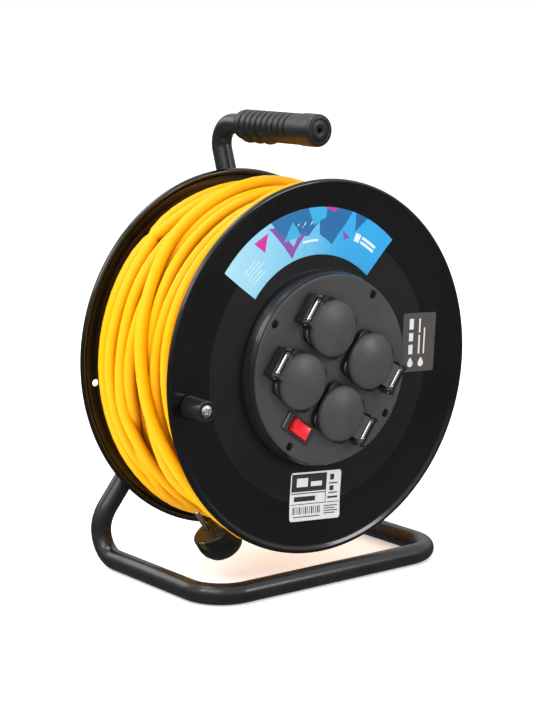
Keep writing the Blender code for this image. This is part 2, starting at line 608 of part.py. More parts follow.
def label(name, place_of, columns, rows, paint, drum):
    """A thin film laid on the front flange. place_of gives x and y from two shares, each from 0 to 1."""
    shape = bmesh.new()
    grid = []
    for column in range(columns + 1):
        line = []
        for row in range(rows + 1):
            x, y = place_of(column / columns, row / rows)
            line.append(shape.verts.new((x, y, flange_height(math.hypot(x, y)) + GAP)))
        grid.append(line)
    for column in range(columns):
        for row in range(rows):
            shape.faces.new((grid[column][row], grid[column + 1][row], grid[column + 1][row + 1],
                             grid[column][row + 1]))
    bmesh.ops.recalc_face_normals(shape, faces=shape.faces)
    if sum(face.normal.z for face in shape.faces) < 0.0:
        bmesh.ops.reverse_faces(shape, faces=shape.faces)
    data = bpy.data.meshes.new(name)
    shape.to_mesh(data)
    shape.free()
    film = add(name, data, paint, drum)
    solid = film.modifiers.new("film", "SOLIDIFY")
    solid.thickness = 0.00025
    solid.offset = 1.0


def make_labels(drum):
    """A curved banner above the panel, an upright plate beside it and a square one below."""
    def banner(across, out):
        radius = 0.0800 + 0.0400 * out
        angle = math.radians(143.0 - 97.0 * across)
        return -0.0064 + radius * math.cos(angle), 0.0168 + radius * math.sin(angle)

    def leaning(centre, size, turn):
        def place(across, up):
            x = (across - 0.5) * size[0]
            y = (up - 0.5) * size[1]
            return (centre[0] + x * math.cos(turn) - y * math.sin(turn),
                    centre[1] + x * math.sin(turn) + y * math.cos(turn))
        return place

    label("banner_label", banner, 20, 3, LABEL_FILM, drum)
    side_place = leaning((0.1092, 0.0104), (0.0370, 0.0520), math.radians(-3.0))
    label("side_label", side_place, 6, 4, LABEL_GREY, drum)
    rating_place = leaning((-0.0064, -0.1104), (0.0550, 0.0420), math.radians(-4.5))
    label("rating_label", rating_place, 4, 6, LABEL_WHITE, drum)


def make_cable(drum):
    """The wound cable as one ring with a hollow for the plug, and the plug lying in the hollow."""
    inner = CORE_RADIUS + GAP
    half_width = WINDING_HALF_WIDTH
    ring = [(WINDING_RADIUS - 0.0015, half_width), (WINDING_RADIUS, 0.0200), (WINDING_RADIUS, -0.0200),
            (WINDING_RADIUS_AT_REAR, -half_width), (inner, -half_width), (inner, half_width)]
    winding = turned("cable_winding", ring, CORD_PVC, drum, steps=56)

    face = Vector((-0.0794, -0.1374, 0.0160))
    pins = Vector((-0.50, 0.86, -0.10)).normalized()
    row = Vector((0.16, 0.12, 0.975))
    row = (row - row.dot(pins) * pins).normalized()
    outlet = pins.cross(row)
    turn = Matrix((row, outlet, pins)).transposed().to_euler()
    plug = empty("plug_frame", drum, face, turn)

    body = [(0.0, 0.0), (0.0178, 0.0), (0.0183, -0.0008), (0.0183, -0.0120), (0.0168, -0.0162),
            (0.0130, -0.0205), (0.0085, -0.0225), (0.0, -0.0230)]
    plug_body = turned("plug_body", body, PLUG_PVC, plug, steps=32)
    for side in (-1, 1):
        number = 1 if side < 0 else 2
        inner, outer = sorted((side * 0.0160, side * 0.0220))
        notch = box_mesh(f"plug_notch_{number}", (-0.0042, inner, -0.0092), (0.0042, outer, 0.0010))
        cut(plug_body, notch)
        inner, outer = sorted((side * 0.0164, side * 0.0174))
        clip_name = f"plug_earth_contact_{number}"
        clip = box_mesh(clip_name, (-0.0036, inner, -0.0088), (0.0036, outer, -GAP))
        add(clip_name, clip, BRASS, plug)
        pin = [(0.0, 0.0190), (0.0012, 0.0190), (0.0024, 0.0176), (0.0024, GAP), (0.0, GAP)]
        pin_place = (side * CONTACT_SPACING / 2.0, 0.0, 0.0)
        turned(f"plug_pin_{number}", pin, STEEL, plug, pin_place, steps=16)

    start = face - 0.0125 * pins + 0.0188 * outlet
    bend = start + 0.0200 * outlet
    around = Vector((-bend.y, bend.x, 0.0)).normalized()
    end = bend + 0.0200 * around
    steps = 8
    route = [start.lerp(bend, step / steps).lerp(bend.lerp(end, step / steps), step / steps)
             for step in range(steps + 1)]
    relief = tube("plug_strain_relief", route, 0.0078, PLUG_PVC, drum, resolution=2)
    for step, slot in enumerate(relief.data.splines[0].points):
        slot.radius = 1.0 - 0.24 * step / steps

    room = cylinder_mesh("plug_hollow", 0.0190, -0.0260, 0.0006, 24)
    cut(winding, room, face, turn)
    pin_room = box_mesh("plug_pin_hollow", (-0.0125, -0.0030, -0.0010), (0.0125, 0.0030, 0.0200))
    cut(winding, pin_room, face, turn)
    stops = (start - 0.0060 * outlet, route[3], route[5], end + 3.0 * GAP * around)
    for number, (near, far) in enumerate(zip(stops, stops[1:]), start=1):
        along = (far - near).to_track_quat("Z", "Y").to_euler()
        beyond = 0.0 if number == 3 else 0.0030
        hollow = cylinder_mesh(f"relief_hollow_{number}", 0.0098, 0.0, (far - near).length + beyond, 16)
        cut(winding, hollow, near, along)


def main():
    frame = empty("stand", None, (0.0, DRUM_Y, 0.0))
    make_stand(frame)
    drum = empty("drum_axis", None, (0.0, DRUM_Y, AXIS_HEIGHT), (math.pi / 2.0, 0.0, 0.0))
    make_drum(drum)
    make_panel(drum)
    for index, place in enumerate(quarter_turns(SOCKET_CIRCLE, SOCKET_TURN), start=1):
        make_socket(drum, index, place)
        make_lid(drum, index, place)
    make_switch(drum)
    make_knob(drum)
    make_labels(drum)
    make_cable(drum)


main()
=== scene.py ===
"""Extension cord reel: the visual model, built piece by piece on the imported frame.

Metres, +Z up, the drum's front faces -Y. The drum's pieces are laid out in the drum frame: x to the right,
y up, z out of the drum's face, its origin on the axis halfway between the rims. The stand's are in the stand
frame.
"""

from math import atan2, ceil, cos, hypot, inf, pi, radians, sin, sqrt, tan

import bmesh
import bpy
import numpy as np
from mathutils import Matrix, Vector


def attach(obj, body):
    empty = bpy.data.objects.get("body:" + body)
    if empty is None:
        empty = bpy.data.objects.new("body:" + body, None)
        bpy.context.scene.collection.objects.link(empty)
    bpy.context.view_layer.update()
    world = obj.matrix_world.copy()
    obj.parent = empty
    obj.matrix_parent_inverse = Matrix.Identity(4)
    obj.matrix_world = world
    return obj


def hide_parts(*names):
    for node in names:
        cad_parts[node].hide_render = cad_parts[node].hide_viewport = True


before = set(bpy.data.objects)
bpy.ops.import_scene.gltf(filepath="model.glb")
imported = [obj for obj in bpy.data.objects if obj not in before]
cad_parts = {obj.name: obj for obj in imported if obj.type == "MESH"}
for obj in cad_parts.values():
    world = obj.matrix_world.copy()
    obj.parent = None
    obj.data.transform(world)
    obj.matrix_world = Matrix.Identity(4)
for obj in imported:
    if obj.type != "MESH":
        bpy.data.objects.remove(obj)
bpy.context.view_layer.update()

# Sizes that the frame was built to.
AXIS_HEIGHT = 0.185
DRUM_Y = -0.0045
FLANGE_RADIUS = 0.16
FACE_RIM = 0.0669
FLAT_FACE = 0.0625
SHEET = 0.0012
BEAD = 0.0026
BEND_ON_FLANGE = 0.117
CABLE = 0.0106
PANEL_RADIUS = 0.0808
PANEL_FACE = 0.0766
PANEL_BACK = 0.0716
SCREW_CIRCLE = 0.075
SCREW_TURN = radians(53.2)
RIVET_CIRCLE = 0.076
RIVET_TURN = radians(98.2)
SOCKET_CIRCLE = 0.037
SOCKET_TURN = radians(7.0)
HINGE_LINE_TURN = radians(54.5)
COLLAR_HALF = 0.022
COLLAR_HEIGHT = 0.005
SOCKET_DEPTH = 0.023
CONTACT_SPACING = 0.019
LID_RADIUS = 0.024
LID_TOP = 0.0139
HINGE_OFFSET = 0.0304
HINGE_HEIGHT = 0.0105
EAR_INNER = 0.0113
EAR_OUTER = 0.0135
SWITCH_PLACE = (-0.0368, -0.0451)
SWITCH_TURN = radians(-35.0)
SWITCH_TILT = radians(8.0)
KNOB_PLACE = (-0.1392, -0.0157)
KNOB_TIP = 0.0912
TUBE_RADIUS = 0.009
HANDLE_X = 0.009
GRIP_HEIGHT = 0.3834
GRIP_START_Y = 0.059
GRIP_LENGTH = 0.1073
PLATE_FRONT = 0.066
TAU = 2.0 * pi
QUARTER = pi / 2.0


def at(x=0.0, y=0.0, z=0.0):
    return Matrix.Translation((x, y, z))


def turned(axis, angle):
    return Matrix.Rotation(angle, 4, axis)


HERE = Matrix.Identity(4)
DRUM = at(0.0, DRUM_Y, AXIS_HEIGHT) @ turned("X", QUARTER)
STAND = at(0.0, DRUM_Y)
STAND_AXIS = STAND @ at(0.0, 0.0, AXIS_HEIGHT) @ turned("X", QUARTER)
# Lays an outline of (y, z) points, drawn in the x-y plane, across x.
ACROSS_X = Matrix(((0, 0, 1, 0), (1, 0, 0, 0), (0, 1, 0, 0), (0, 0, 0, 1)))


def with_settings(made, **settings):
    for key, value in settings.items():
        setattr(made, key, value)
    return made


def in_scene(name, data):
    made = bpy.data.objects.new(name, data)
    bpy.context.scene.collection.objects.link(made)
    return made


# ---- camera
CAMERA_PLACE = (-1.0427, -1.3491, 0.4953)
CAMERA_AZIMUTH = radians(-37.553)
CAMERA_ELEVATION = radians(10.348)


def make_camera():
    level = cos(CAMERA_ELEVATION)
    back = Vector((sin(CAMERA_AZIMUTH) * level, -cos(CAMERA_AZIMUTH) * level,
                   sin(CAMERA_ELEVATION)))
    right = Vector((-back.y, back.x, 0.0)).normalized()
    up = back.cross(right)
    data = with_settings(bpy.data.cameras.new("camera"), lens=100.0, sensor_width=36.0, clip_end=200.0)
    camera = in_scene("camera", data)
    camera.matrix_world = at(*CAMERA_PLACE) @ Matrix((right, up, back)).transposed().to_4x4()
    bpy.context.scene.camera = camera


make_camera()


# ---- materials
def node(tree, kind, inputs=(), **settings):
    """A shader node with its settings. Each input is a value or the output of another node."""
    made = with_settings(tree.nodes.new(f"ShaderNode{kind}"), **settings)
    for key, value in dict(inputs).items():
        if isinstance(value, bpy.types.NodeSocket):
            tree.links.new(value, made.inputs[key])
        else:
            made.inputs[key].default_value = value
    return made


class Paint:
    """A Principled material whose colour, roughness and bump come from procedural nodes."""

    def __init__(self, name, colour, roughness, metallic=0.0, **sockets):
        self.made = bpy.data.materials.new(name)
        self.made.use_nodes = True
        self.made.diffuse_color = (*colour, 1.0)
        self.colour = colour
        self.shader = self.made.node_tree.nodes["Principled BSDF"]
        values = {"Base_Color": (*colour, 1.0), "Roughness": roughness, "Metallic": metallic, **sockets}
        for key, value in values.items():
            self.shader.inputs[key.replace("_", " ")].default_value = value
        self.place = self.node("TexCoord").outputs["Object"]

    def node(self, kind, inputs=(), **settings):
        return node(self.made.node_tree, kind, inputs, **settings)

    def use(self, source, target):
        self.made.node_tree.links.new(source, self.shader.inputs[target])
        return self

    def noise(self, scale, detail, rough=0.5):
        inputs = {"Vector": self.place, "Scale": scale, "Detail": detail, "Roughness": rough}
        return self.node("TexNoise", inputs).outputs["Fac"]

    def axes(self):
        return self.node("SeparateXYZ", {"Vector": self.place}).outputs

    def from_axis(self):
        """The distance of a point from the drum's axis, while the drum stands as it was built."""
        apart = self.axes()
        up = self.node("Math", {0: apart["Z"], 1: AXIS_HEIGHT}, operation="SUBTRACT").outputs["Value"]
        flat = self.node("CombineXYZ", {"X": apart["X"], "Y": up}).outputs["Vector"]
        return self.node("VectorMath", {0: flat}, operation="LENGTH").outputs["Value"]

    def added(self, first, second):
        return self.node("Math", {0: first, 1: second}, operation="ADD").outputs["Value"]

    def ramp(self, source, stops):
        made = self.node("ValToRGB", {"Fac": source})
        bar = made.color_ramp
        while len(bar.elements) < len(stops):
            bar.elements.new(0.5)
        for element, (where, colour) in zip(bar.elements, stops):
            element.position = where
            element.color = (*colour, 1.0)
        return made.outputs["Color"]

    def spread(self, source, low, high, from_low=0.35, from_high=0.65):
        inputs = {"Value": source, "From Min": from_low, "From Max": from_high, "To Min": low, "To Max": high}
        return self.node("MapRange", inputs).outputs["Result"]

    def mottle(self, scale, amount):
        """Varies the colour lighter and darker by a share of itself."""
        low = tuple(channel * (1.0 - amount) for channel in self.colour)
        high = tuple(min(1.0, channel * (1.0 + amount)) for channel in self.colour)
        return self.use(self.ramp(self.noise(scale, 4.0, 0.55), [(0.3, low), (0.7, high)]), "Base Color")

    def rough(self, scale, low, high):
        return self.use(self.spread(self.noise(scale, 4.0, 0.6), low, high), "Roughness")

    def grain(self, scale, depth, detail, strength):
        """A bump of a depth in metres."""
        inputs = {"Height": self.noise(scale, detail, 0.6), "Distance": depth, "Strength": strength}
        return self.use(self.node("Bump", inputs).outputs["Normal"], "Normal")


# For each plain paint: what Paint takes, then what mottle, rough and, for most of them, grain take.
PLAIN_PAINTS = {
    "stand_paint": [("stand_paint", (0.011, 0.0113, 0.012), 0.26),
                    (40.0, 0.22), (50.0, 0.21, 0.31), (90.0, 0.00006, 2.0, 0.3)],
    "panel": [("panel_plastic", (0.041, 0.0405, 0.04), 0.45),
              (30.0, 0.1), (45.0, 0.4, 0.5), (1500.0, 0.00006, 2.0, 0.55)],
    "lid": [("cover_plastic", (0.044, 0.0435, 0.043), 0.42),
            (34.0, 0.12), (50.0, 0.37, 0.47), (1700.0, 0.00007, 2.0, 0.6)],
    "housing": [("housing_plastic", (0.01, 0.01, 0.011), 0.19),
                (20.0, 0.25), (30.0, 0.15, 0.25), (700.0, 0.00003, 2.0, 0.35)],
    "socket": [("socket_plastic", (0.0105, 0.0105, 0.011), 0.32),
               (60.0, 0.15), (80.0, 0.27, 0.38), (1600.0, 0.00005, 2.0, 0.5)],
    "bezel": [("bezel_plastic", (0.026, 0.026, 0.027), 0.24),
              (60.0, 0.15), (90.0, 0.22, 0.33), (1500.0, 0.00003, 2.0, 0.4)],
    "grip": [("grip_rubber", (0.008, 0.0083, 0.0088), 0.38),
             (70.0, 0.14), (90.0, 0.34, 0.48), (1900.0, 0.00007, 2.0, 0.6)],
    "bright_steel": [("bright_steel", (0.42, 0.42, 0.41), 0.15, 1.0), (120.0, 0.06), (160.0, 0.13, 0.2)],
    "zinc": [("zinc_plate", (0.7, 0.71, 0.69), 0.4, 1.0),
             (140.0, 0.12), (200.0, 0.34, 0.5), (2200.0, 0.00004, 3.0, 0.5)],
    "dark_zinc": [("dark_zinc", (0.085, 0.085, 0.085), 0.45, 1.0),
                  (140.0, 0.16), (200.0, 0.38, 0.52), (2200.0, 0.00004, 3.0, 0.5)],
    "nickel": [("plated_pins", (0.86, 0.84, 0.8), 0.38, 1.0), (150.0, 0.06), (200.0, 0.32, 0.46)],
    "brass": [("brass", (0.62, 0.42, 0.17), 0.3, 1.0),
              (200.0, 0.16), (260.0, 0.24, 0.42), (2400.0, 0.00003, 2.0, 0.5)],
    "nylon": [("nylon", (0.52, 0.5, 0.44), 0.45),
              (60.0, 0.08), (80.0, 0.38, 0.52), (1400.0, 0.00003, 2.0, 0.4)],
    "plug": [("plug_plastic", (0.0085, 0.0085, 0.0095), 0.3),
             (60.0, 0.25), (70.0, 0.25, 0.38), (1200.0, 0.00004, 2.0, 0.3)],
}


def make_materials():
    paints = {}
    for key, (base, mottle, rough, *grain) in PLAIN_PAINTS.items():
        paint = Paint(*base).mottle(*mottle).rough(*rough)
        for row in grain:
            paint.grain(*row)
        paints[key] = paint.made
    enamel = Paint("black_enamel", (0.005, 0.0047, 0.0046), 0.17, Coat_Weight=0.15, Coat_Roughness=0.06)
    enamel.mottle(9.0, 0.35).grain(22.0, 0.00045, 1.0, 0.3)
    # The flat inside of the disc is less polished than the sloping part outside it.
    inside = enamel.spread(enamel.from_axis(), 0.27, 0.0, 0.1165, 0.118)
    polish = enamel.spread(enamel.noise(14.0, 4.0, 0.6), 0.1, 0.17)
    paints["enamel"] = enamel.use(enamel.added(inside, polish), "Roughness").made
    cable = Paint("yellow_cable", (0.9, 0.435, 0.001), 0.36, Specular_IOR_Level=0.16)
    cable.rough(34.0, 0.27, 0.43).grain(240.0, 0.0001, 2.0, 0.35)
    # Painted shade: darker down between the strands, towards the drum's axis, where the turns shade each
    # other.
    depth = cable.spread(cable.from_axis(), 0.0, 1.0, 0.139, 0.1515)
    source = cable.added(depth, cable.spread(cable.noise(16.0, 4.0), -0.05, 0.05))
    # The darker stops are the painted shade; the last one is the sheath's own yellow.
    stops = [(0.0, (0.44, 0.15, 0.001)), (0.3, (0.62, 0.24, 0.001)), (0.55, (0.83, 0.365, 0.001)),
             (0.85, (0.9, 0.435, 0.001))]
    paints["yellow_cable"] = cable.use(cable.ramp(source, stops), "Base Color").made
    rocker = Paint("red_rocker", (0.62, 0.012, 0.02), 0.22, Coat_Weight=0.4, Coat_Roughness=0.08,
                   Subsurface_Weight=0.12, Subsurface_Scale=0.003)
    rocker.mottle(260.0, 0.22).rough(120.0, 0.18, 0.28).grain(1100.0, 0.00002, 2.0, 0.4)
    paints["red_rocker"] = rocker.made
    return paints


PAINT = make_materials()
FILM_DEPTH = 0.71
FILM_ROUGHNESS = 0.28


def film_paint(name, first, *rest):
    """A printed film with a faint grain. Its colour runs across it where there is more than one stop."""
    stops = [(0.0, first), *rest] if rest else [(0.0, first), (1.0, first)]
    stops = [(where, tuple(FILM_DEPTH * channel for channel in colour)) for where, colour in stops]
    made = Paint(name, stops[0][1], FILM_ROUGHNESS, Coat_Weight=0.3, Coat_Roughness=0.12)
    across = made.spread(made.axes()["X"], 0.0, 1.0, -0.1, 0.09)
    blend = made.added(across, made.spread(made.noise(220.0, 2.0), -0.008, 0.008))
    made.use(made.ramp(blend, stops), "Base Color").rough(60.0, FILM_ROUGHNESS - 0.02, FILM_ROUGHNESS + 0.03)
    return made.made


# ---- meshes
def polar(radius, angle, height=0.0):
    return Vector((radius * cos(angle), radius * sin(angle), height))


def quarter_turns(radius, turn):
    """The four places on a circle, numbered from 1."""
    return enumerate([polar(radius, turn + quarter * QUARTER) for quarter in range(4)], start=1)


def shaded(data, angle=34.0):
    data.shade_smooth()
    data.set_sharp_from_angle(angle=radians(angle))
    return data


def meshed(shape, angle=34.0):
    data = bpy.data.meshes.new("mesh")
    shape.to_mesh(data)
    shape.free()
    return shaded(data, angle)


def finished(shape, angle=34.0):
    bmesh.ops.recalc_face_normals(shape, faces=shape.faces)
    return meshed(shape, angle)


def softened(outline, reach, points=4, side_share=0.45):
    """Rounds the corners of an open line, cutting at most reach and a share of each side off."""
    line = [Vector(point) for point in outline]
    found = [line[0]]
    for before, corner, after in zip(line, line[1:], line[2:]):
        near, far = (corner + (end - corner).normalized() * min(reach, (end - corner).length * side_share)
                     for end in (before, after))
        for step in range(points + 1):
            share = step / points
            found.append(near.lerp(corner, share).lerp(corner.lerp(far, share), share))
    return [tuple(point) for point in found + [line[-1]]]


def raised(base, outline):
    """An outline of (radius, height), with its heights counted from a base."""
    return [(radius, base + height) for radius, height in outline]


def loop_of(shape, points):
    return [shape.verts.new(point) for point in points]


def bridged(shape, rings):
    """Faces between each ring of vertices and the next. A ring of one vertex is a point."""
    for first, second in zip(rings, rings[1:]):
        sides = max(len(first), len(second))
        for step in range(sides):
            on = (step + 1) % sides
            corners = [first[step % len(first)], first[on % len(first)], second[on % len(second)],
                       second[step % len(second)]]
            distinct = list(dict.fromkeys(corners))
            if len(distinct) > 2:
                shape.faces.new(distinct)


def lathe(outline, steps=64, angle=34.0):
    """Turns an outline of (radius, height) about z. It closes on itself where both ends stay off the axis."""
    shape = bmesh.new()
    rings = []
    for radius, height in outline:
        turns = range(steps if radius else 1)
        rings.append(loop_of(shape, [polar(radius, TAU * turn / steps, height) for turn in turns]))
    closed = len(rings[0]) > 1 and len(rings[-1]) > 1
    bridged(shape, rings + rings[:1] if closed else rings)
    return finished(shape, angle)


def rounded_outline(half_x, half_y, corner, points=6):
    found = []
    for quarter in range(4):
        centre_x = (half_x - corner) * (1 if quarter in (0, 3) else -1)
        centre_y = (half_y - corner) * (1 if quarter in (0, 1) else -1)
        for step in range(points + 1):
            angle = (quarter + step / points) * QUARTER
            found.append((centre_x + corner * cos(angle), centre_y + corner * sin(angle)))
    return found


def slab(outline, low, high):
    shape = bmesh.new()
    face = shape.faces.new(loop_of(shape, [(x, y, low) for x, y in outline]))
    extruded = bmesh.ops.extrude_face_region(shape, geom=[face])["geom"]
    lifted = [item for item in extruded if isinstance(item, bmesh.types.BMVert)]
    bmesh.ops.translate(shape, verts=lifted, vec=(0.0, 0.0, high - low))
    return finished(shape)


def bar(left, low, right, high):
    return [(left, low), (right, low), (right, high), (left, high)]


def block(low, high):
    return slab(bar(*low[:2], *high[:2]), low[2], high[2])


def rod(radius, low, high, sides=32):
    return lathe([(0.0, low), (radius, low), (radius, high), (0.0, high)], sides)


def skin(rings, angle=34.0):
    """A mesh over rings of points, closed at both ends."""
    shape = bmesh.new()
    loops = [loop_of(shape, ring) for ring in rings]
    bridged(shape, loops)
    shape.faces.new(loops[0][::-1])
    shape.faces.new(loops[-1])
    return finished(shape, angle)


def directions(line):
    """The direction of a line of points at each of them."""
    return [(ahead - behind).normalized() for behind, ahead in zip(line[:1] + line, line[1:] + line[-1:])]


def sweep(points, radii, sides=24, angle=34.0):
    """A round tube along points, with a radius at each, closed at both ends."""
    line = [Vector(point) for point in points]
    turns = [TAU * step / sides for step in range(sides)]
    side = directions(line)[0].orthogonal().normalized()
    rings = []
    for point, radius, ahead in zip(line, radii, directions(line)):
        side = (side - side.dot(ahead) * ahead).normalized()
        other = ahead.cross(side)
        rings.append([point + radius * (cos(turn) * side + sin(turn) * other) for turn in turns])
    return skin(rings, angle)


def ribbon(path, width, thickness):
    """A strip bent along a path in the y-z plane, as wide as given along x."""
    line = [Vector(point) for point in softened(path, inf, 5, 0.4)]
    side = Vector((width / 2.0, 0.0, 0.0))
    rings = []
    for point, ahead in zip(line, directions(line)):
        up = Vector((1.0, 0.0, 0.0)).cross(ahead) * thickness / 2.0
        rings.append([point + corner for corner in (-side - up, side - up, side + up, -side + up)])
    return skin(rings)


def merged(parts):
    shape = bmesh.new()
    for data in parts:
        shape.from_mesh(data)
    return meshed(shape)


def carved(base, joins=(), cuts=(), bevel=0.0, segments=2, angle=34.0):
    """The base mesh with (mesh, matrix) tools joined to it and cut out of it, its edges softened."""
    body = in_scene("work", base)
    helpers = [body]
    tools = [(*tool, "UNION") for tool in joins] + [(*tool, "DIFFERENCE") for tool in cuts]
    for data, place, operation in tools:
        helper = with_settings(in_scene("helper", data), matrix_world=place, hide_render=True)
        helpers.append(helper)
        boolean = body.modifiers.new("boolean", "BOOLEAN")
        with_settings(boolean, operation=operation, object=helper, solver="EXACT")
    if bevel > 0.0:
        edges = body.modifiers.new("edges", "BEVEL")
        with_settings(edges, width=bevel, segments=segments, limit_method="ANGLE",
                      angle_limit=radians(38.0), harden_normals=True)
    bpy.context.view_layer.update()
    graph = bpy.context.evaluated_depsgraph_get()
    made = bpy.data.meshes.new_from_object(body.evaluated_get(graph))
    for helper in helpers:
        bpy.data.objects.remove(helper, do_unlink=True)
    made.materials.clear()
    return shaded(made, angle)


def piece(name, data, place, paint, replaced=None, body="drum"):
    """Places a mesh as a piece of a body. It may stand for a CAD node.

    The paint is a name in PAINT or a list of materials.
    """
    data.transform(place)
    data.name = name
    for one in [PAINT[paint]] if isinstance(paint, str) else paint:
        data.materials.append(one)
    made = in_scene(name, data)
    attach(made, body)
    if replaced:
        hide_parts(replaced)
    return made


def flange_height(radius):
    """The front flange's face, with the bend rounded."""
    slope = (FACE_RIM - SHEET - FLAT_FACE) / (FLANGE_RADIUS - BEND_ON_FLANGE)
    soft = 0.004
    past = radius - BEND_ON_FLANGE
    if past <= -soft:
        return FLAT_FACE
    if past < soft:
        return FLAT_FACE + slope * (past + soft) ** 2 / (4.0 * soft)
    return FLAT_FACE + slope * past


# ---- plug frame
PLUG_FACE = Vector((-0.0794, -0.1374, 0.016))
PLUG_PINS = Vector((-0.5, 0.86, -0.1)).normalized()
ROW = Vector((0.16, 0.12, 0.975))
PLUG_ROW = (ROW - ROW.dot(PLUG_PINS) * PLUG_PINS).normalized()
PLUG_OUTLET = PLUG_PINS.cross(PLUG_ROW)
PLUG = at(*PLUG_FACE) @ Matrix((PLUG_ROW, PLUG_OUTLET, PLUG_PINS)).transposed().to_4x4()
PLUG_RADIUS = 0.0203
PLUG_DEPTH = 0.0274
RELIEF_DEPTH = 0.013
RELIEF_START = PLUG_FACE - RELIEF_DEPTH * PLUG_PINS + 0.0206 * PLUG_OUTLET
RELIEF_BEND = RELIEF_START + 0.02 * PLUG_OUTLET
ALONG_DRUM = Vector((-RELIEF_BEND.y, RELIEF_BEND.x, 0.0)).normalized()
RELIEF_END = RELIEF_BEND + 0.02 * ALONG_DRUM
RELIEF_END_RADIUS = hypot(RELIEF_END.x, RELIEF_END.y)


def relief_route(steps):
    found = []
    for step in range(steps + 1):
        share = step / steps
        found.append(RELIEF_START.lerp(RELIEF_BEND, share).lerp(RELIEF_BEND.lerp(RELIEF_END, share), share))
    return found


# ---- the wound cable
SAMPLES = 72
TOTAL_TURNS = 65
ROUNDS = 260
HALF_WIDTH = 0.0556
GLAND_TURN = radians(230.0)
GLAND_Z = -0.03
GLAND_RADIUS = 0.0938
# How far the cable has crossed the drum after so many turns: neat layers, then two open ones laid by hand.
CROSSINGS = [(0.0, GLAND_Z), (2.5, -HALF_WIDTH), (13.3, HALF_WIDTH), (24.1, -HALF_WIDTH), (34.9, HALF_WIDTH),
             (45.7, -HALF_WIDTH), (56.5, HALF_WIDTH), (61.0, -HALF_WIDTH), (64.1, HALF_WIDTH)]
# The last turn lies over the others: it leaves the front flange, crosses to the rear and comes to the plug.
LAST_CROSSINGS = [(-1.12, 0.056), (-0.94, 0.0565), (-0.85, 0.043), (-0.75, 0.009), (-0.66, -0.019),
                  (-0.54, -0.025), (-0.38, -0.015), (-0.2, 0.004), (-0.08, 0.009), (0.0, RELIEF_END.z)]
LAYERS = (0.0976, 0.1, 0.1076, 0.1166, 0.1258, 0.135, 0.146)
SAG_RADIUS = 0.1545
CEILING_REAR = 0.147
CEILING_FRONT = 0.1495


def smooth_step(value):
    value = np.clip(value, 0.0, 1.0)
    return value * value * (3.0 - 2.0 * value)


def between(value, start, start_fade, stop, stop_fade):
    """0, rising to 1 from the start on, and falling back from the stop on."""
    return smooth_step((value - start) / start_fade) * (1.0 - smooth_step((value - stop) / stop_fade))


def cleared(z, angle, share, middle, half, degrees, flat, fade):
    """Presses strands to both sides of a place that the plug or its strain relief takes."""
    low, high = middle - half, middle + half
    edge = HALF_WIDTH + 0.001
    below = -edge + (z + edge) * (low + edge) / (middle + edge)
    above = edge - (edge - z) * (edge - high) / (edge - middle)
    pressed = np.where(z < middle, below, above)
    away = np.abs((np.degrees(angle) - degrees + 180.0) % 360.0 - 180.0)
    return z + (pressed - z) * (1.0 - smooth_step((away - flat) / fade)) * share


def smoothed(line, width=9):
    window = np.hanning(2 * width + 3)[1:-1]
    return np.convolve(np.pad(line, width, mode="edge"), window / window.sum(), mode="valid")


def planned_crossing():
    """(turns, angle, z) of each sample of the cable, wound clockwise from the gland to the plug."""
    last_angle = atan2(RELIEF_END.y, RELIEF_END.x) % TAU
    swept = (GLAND_TURN - last_angle) % TAU + TAU * TOTAL_TURNS
    turns = np.arange(int(round(swept / TAU * SAMPLES)) + 1) / SAMPLES
    angle = GLAND_TURN - turns * TAU
    final = turns[-1]
    marks = [mark for mark in CROSSINGS if mark[0] < final - 1.2]
    marks = np.array(marks + [(final + before, z) for before, z in LAST_CROSSINGS])
    z = smoothed(np.interp(turns, marks[:, 0], marks[:, 1]))
    rng = np.random.default_rng(20)
    wave = np.zeros_like(turns)
    for rate in (0.31, 0.53, 0.87, 1.13, 1.71, 2.3):
        height, phase = rng.uniform(0.6, 1.0), rng.uniform(0.0, TAU)
        wave += height * np.sin(TAU * rate * turns + phase) / (1.0 + 0.5 * rate)
    z = z + wave * np.interp(turns, [0.0, 40.0, 54.0, 57.0, final - 1.3, final - 1.0],
                             [0.0003, 0.0005, 0.0018, 0.007, 0.007, 0.0])
    z = cleared(z, angle, between(turns, 56.4, 0.6, final - 0.35, 0.1), 0.0165, 0.0265, 242.0, 17.0, 42.0)
    z = cleared(z, angle, between(turns, 45.0, 0.6, 56.6, 0.6), 0.009, 0.012, 254.0, 7.0, 30.0)
    return turns, angle, np.clip(z, -HALF_WIDTH, HALF_WIDTH)


def planned_layers(turns):
    """How far out each sample starts: a layer further at each end of the drum, the last turn over all."""
    marks = [(0.0, LAYERS[0])]
    for below, above, mark in zip(LAYERS, LAYERS[1:], CROSSINGS[1:]):
        marks += [(mark[0] - 0.3, below), (mark[0] + 0.3, above)]
    final = turns[-1]
    marks += [(final - 1.15, LAYERS[-1]), (final - 0.95, 0.153), (final - 0.1, 0.148)]
    return np.interp(turns, *np.array(marks).T)


def rows(line, filler):
    """The samples as one row for each turn."""
    table = np.full(ceil(len(line) / SAMPLES) * SAMPLES, filler)
    table[:len(line)] = line
    return table.reshape(-1, SAMPLES)


def obstacles():
    """Balls, as (middle, radius) in the drum frame, that fill the plug, its pins and its strain relief."""
    balls = [(PLUG_FACE + PLUG_PINS * depth, 0.0192) for depth in (-0.002, -0.008, -0.014)]
    balls.append((PLUG_FACE - PLUG_PINS * 0.021, 0.0145))
    balls += [(point, 0.0076 - 0.001 * index / 6.0) for index, point in enumerate(relief_route(6))]
    for side in (-1.0, 1.0):
        for depth in (0.004, 0.01, 0.016):
            balls.append((PLUG_FACE + PLUG_PINS * depth + PLUG_ROW * side * CONTACT_SPACING / 2.0, 0.0028))
    return balls


